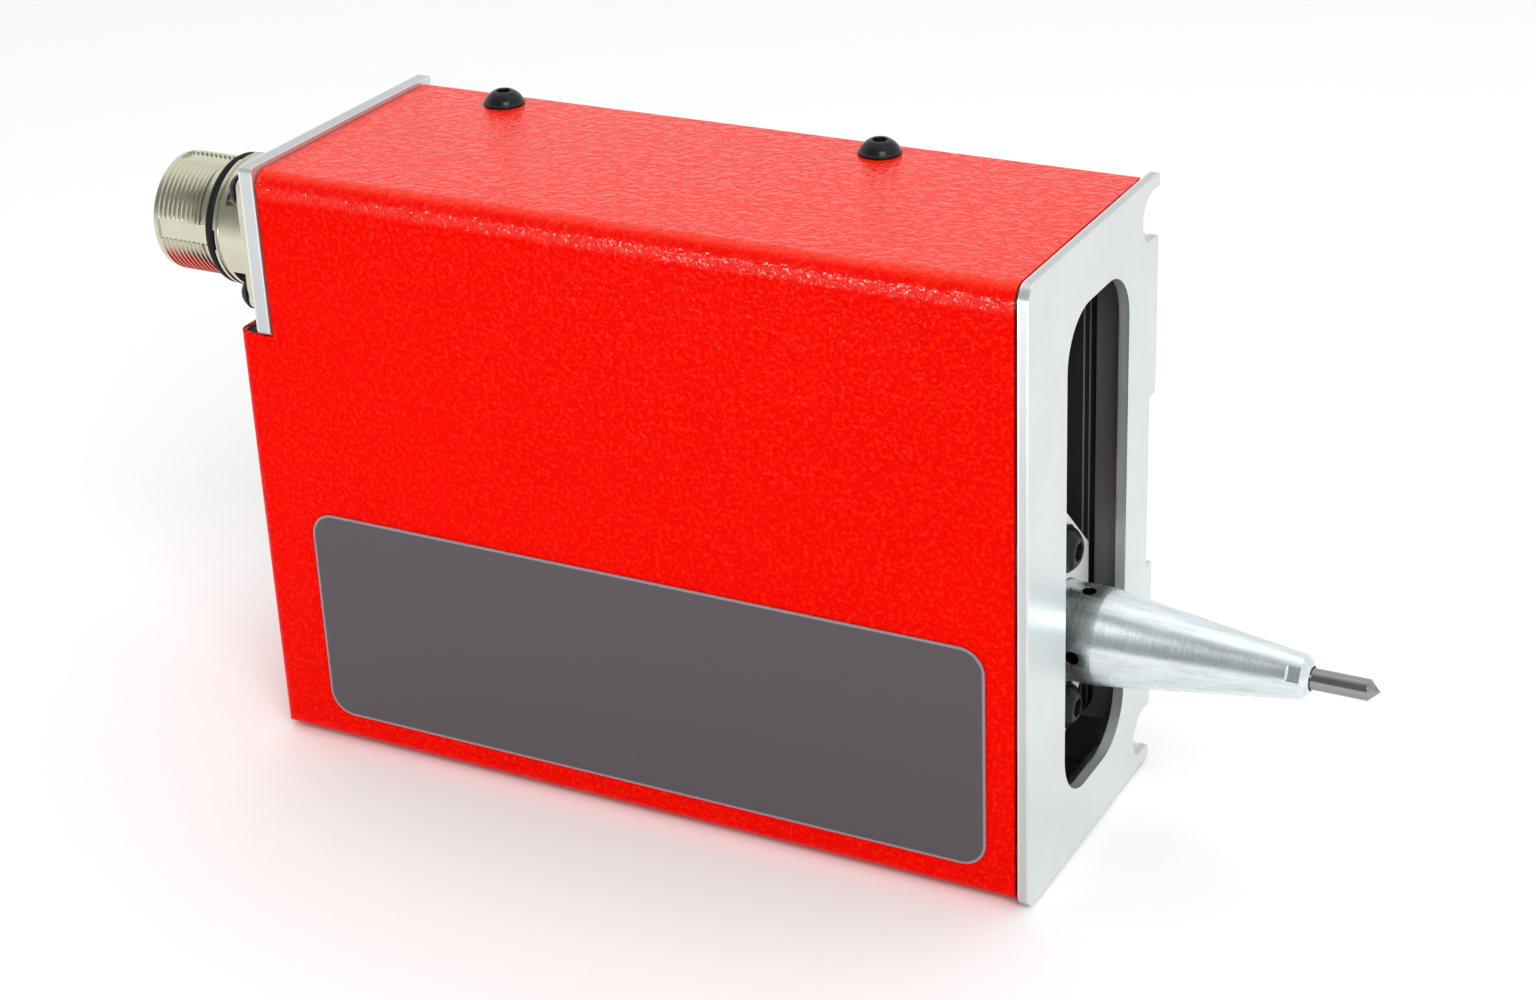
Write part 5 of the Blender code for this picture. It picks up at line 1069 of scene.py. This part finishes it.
class MARKER_OT_mechanism(PieceOperator):
    """Finishes of the slides, screws, motors and electronics inside"""

    bl_idname = "marker.mechanism"
    bl_label = "Mechanism"

    def execute(self, context):
        steel = plain_finish("ground_steel", (0.50, 0.50, 0.49), 0.26, 1.0)
        wear(steel, "z_rail z_carriage y_rail y_carriage z_bearing_top z_bearing_bottom pole_ring plunger")
        wear(steel, "z_home_flag z_motor_shaft")
        milled = milled_finish(self.colours(), "inner_aluminium", (1, 0.05, 1), 0.32, 0.9)
        wear(milled, "crossbar_bottom crossbar_top z_bearing_block drive_plate z_slide_bracket")
        wear(milled, "y_slide_plate z_screw_pulley z_motor_pulley")
        brass = plain_finish("brass", (0.74, 0.56, 0.25), 0.26, 1.0)
        wear(brass, "z_nut y_nut guide_bush board_spacer_1 board_spacer_2 board_spacer_3 board_spacer_4")
        wear(plain_finish("motor_black", (0.02, 0.02, 0.022), 0.42, 0.3), "z_motor y_motor")
        plastic = plain_finish("black_plastic", (0.025, 0.025, 0.026), 0.48)
        wear(plastic, "coil_bobbin z_home_sensor y_home_switch")
        wear(plain_finish("belt_rubber", (0.016, 0.016, 0.016), 0.66), "drive_belt")
        wear(board_finish(), "interface_board")
        screw, copper = (0.55, 0.55, 0.54), (0.78, 0.38, 0.18)
        axis = node_middle("z_screw")
        place = (-axis.x, -axis.y, 0)
        wear(ridged_finish("z_screw_thread", screw, 0.0025, 0.0003, place), "z_screw")
        axis = node_middle("y_screw")
        place, turn = (-axis.x, -axis.z, 0), (-RIGHT_ANGLE, 0, 0)
        wear(ridged_finish("y_screw_thread", screw, 0.0008, 0.00012, place, turn), "y_screw")
        axis = node_middle("coil_winding")
        place, turn = (axis.z, -axis.y, 0), (0, RIGHT_ANGLE, 0)
        wear(ridged_finish("copper_winding", copper, 0.0005, 0.0002, place, turn, False), "coil_winding")
        return {"FINISHED"}


def wear(finish, names):
    """Gives CAD nodes a finish but keeps their meshes."""
    for name in names.split():
        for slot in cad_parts[name].material_slots:
            slot.link = "OBJECT"
            slot.material = finish


class MARKER_OT_stage(PieceOperator):
    """Pale floor, soft studio lights and the camera"""

    bl_idname = "marker.stage"
    bl_label = "Stage"

    def execute(self, context):
        scene = bpy.context.scene
        scene.view_settings.view_transform = "Standard"
        scene.view_settings.look = "None"
        work = bmesh.new()
        bmesh.ops.create_grid(work, x_segments=2, y_segments=2, size=6)
        floor = linked("floor", work)
        floor.location.z = -0.0006
        paper = Finish("floor_paper", (0.96, 0.96, 0.96), 0.85)
        paper.give("Base Color", paper.mix(paper.noise(0.4), (0.95, 0.95, 0.95), (0.97, 0.97, 0.97)))
        floor.data.materials.append(paper.material)
        scene.world = bpy.data.worlds.new("studio")
        scene.world.use_nodes = True
        self.studio(scene.world)
        for lamp in LAMPS:
            self.lamp(*lamp)
        scene.camera = self.camera()
        return {"FINISHED"}

    def studio(self, world):
        """White walls, darker on the camera's side, so that the metal shows its shape."""
        wiring = Wiring(world.node_tree)
        way = wiring.node("ShaderNodeTexCoord")
        sockets = {0: way, 1: (0, -0.78, 0.62)}
        behind = wiring.node("ShaderNodeVectorMath", {"operation": "DOT_PRODUCT"}, sockets, 1)
        sky = world.node_tree.nodes["Background"]
        wiring.feed(sky, "Color", (1, 1, 1, 1))
        wiring.feed(sky, "Strength", 1.0 - behind.over(0.52, 0.78) * 0.72)

    def aimed(self, name, data, spot, turn):
        """A lamp or camera in its place."""
        made = shown(name, data)
        made.location = spot
        made.rotation_mode = "QUATERNION"
        made.rotation_quaternion = turn
        return made

    def lamp(self, name, spot, size, power):
        """A square lamp that points at the middle of the head."""
        light = bpy.data.lights.new(name, "AREA")
        light.size = size
        light.energy = power
        self.aimed(name, light, spot, (LAMP_TARGET - Vector(spot)).to_track_quat("-Z", "Y"))

    def camera(self):
        """The photo's viewing angle."""
        view = bpy.data.cameras.new("camera")
        view.sensor_width = 36
        view.lens = FOCAL_PIXELS / FRAME_PIXELS * view.sensor_width
        view.clip_start = 0.01
        azimuth, elevation, roll = CAMERA_ANGLES
        level = math.cos(elevation)
        back = Vector((math.sin(azimuth) * level, -math.cos(azimuth) * level, math.sin(elevation)))
        turn = (-back).to_track_quat("-Z", "Y").to_matrix().to_4x4() @ Matrix.Rotation(roll, 4, "Z")
        return self.aimed("camera", view, CAMERA_SPOT, turn.to_quaternion())


class MARKER_PT_panel(bpy.types.Panel):
    """The marking head's pieces and settings"""

    bl_idname = "MARKER_PT_panel"
    bl_label = "Marking head"
    bl_space_type = "VIEW_3D"
    bl_region_type = "UI"
    bl_category = "Marking head"

    def draw(self, context):
        for made in PIECES:
            self.layout.operator(made.bl_idname)
        for group, _ in GROUPS:
            settings = getattr(context.scene, group)
            box = self.layout.box()
            for key in settings.__annotations__:
                box.prop(settings, key)


PIECES = (
    MARKER_OT_stage,
    MARKER_OT_front_plate,
    MARKER_OT_rear_plate,
    MARKER_OT_base_plate,
    MARKER_OT_cover,
    MARKER_OT_name_panel,
    MARKER_OT_screws,
    MARKER_OT_connector,
    MARKER_OT_nozzle,
    MARKER_OT_striker,
    MARKER_OT_carriage,
    MARKER_OT_mechanism,
)
GROUPS = (("marker_housing", HousingSizes), ("marker_head", HeadSizes), ("marker_finishes", Finishes))


def register():
    for name, group in GROUPS:
        bpy.utils.register_class(group)
        setattr(bpy.types.Scene, name, PointerProperty(type=group))
    for made in (*PIECES, MARKER_PT_panel):
        bpy.utils.register_class(made)


def unregister():
    for made in (MARKER_PT_panel, *reversed(PIECES)):
        bpy.utils.unregister_class(made)
    for name, group in reversed(GROUPS):
        delattr(bpy.types.Scene, name)
        bpy.utils.unregister_class(group)


def main():
    register()
    for made in PIECES:
        group, action = made.bl_idname.split(".")
        getattr(getattr(bpy.ops, group), action)()
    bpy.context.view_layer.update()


if __name__ == "__main__":
    main()
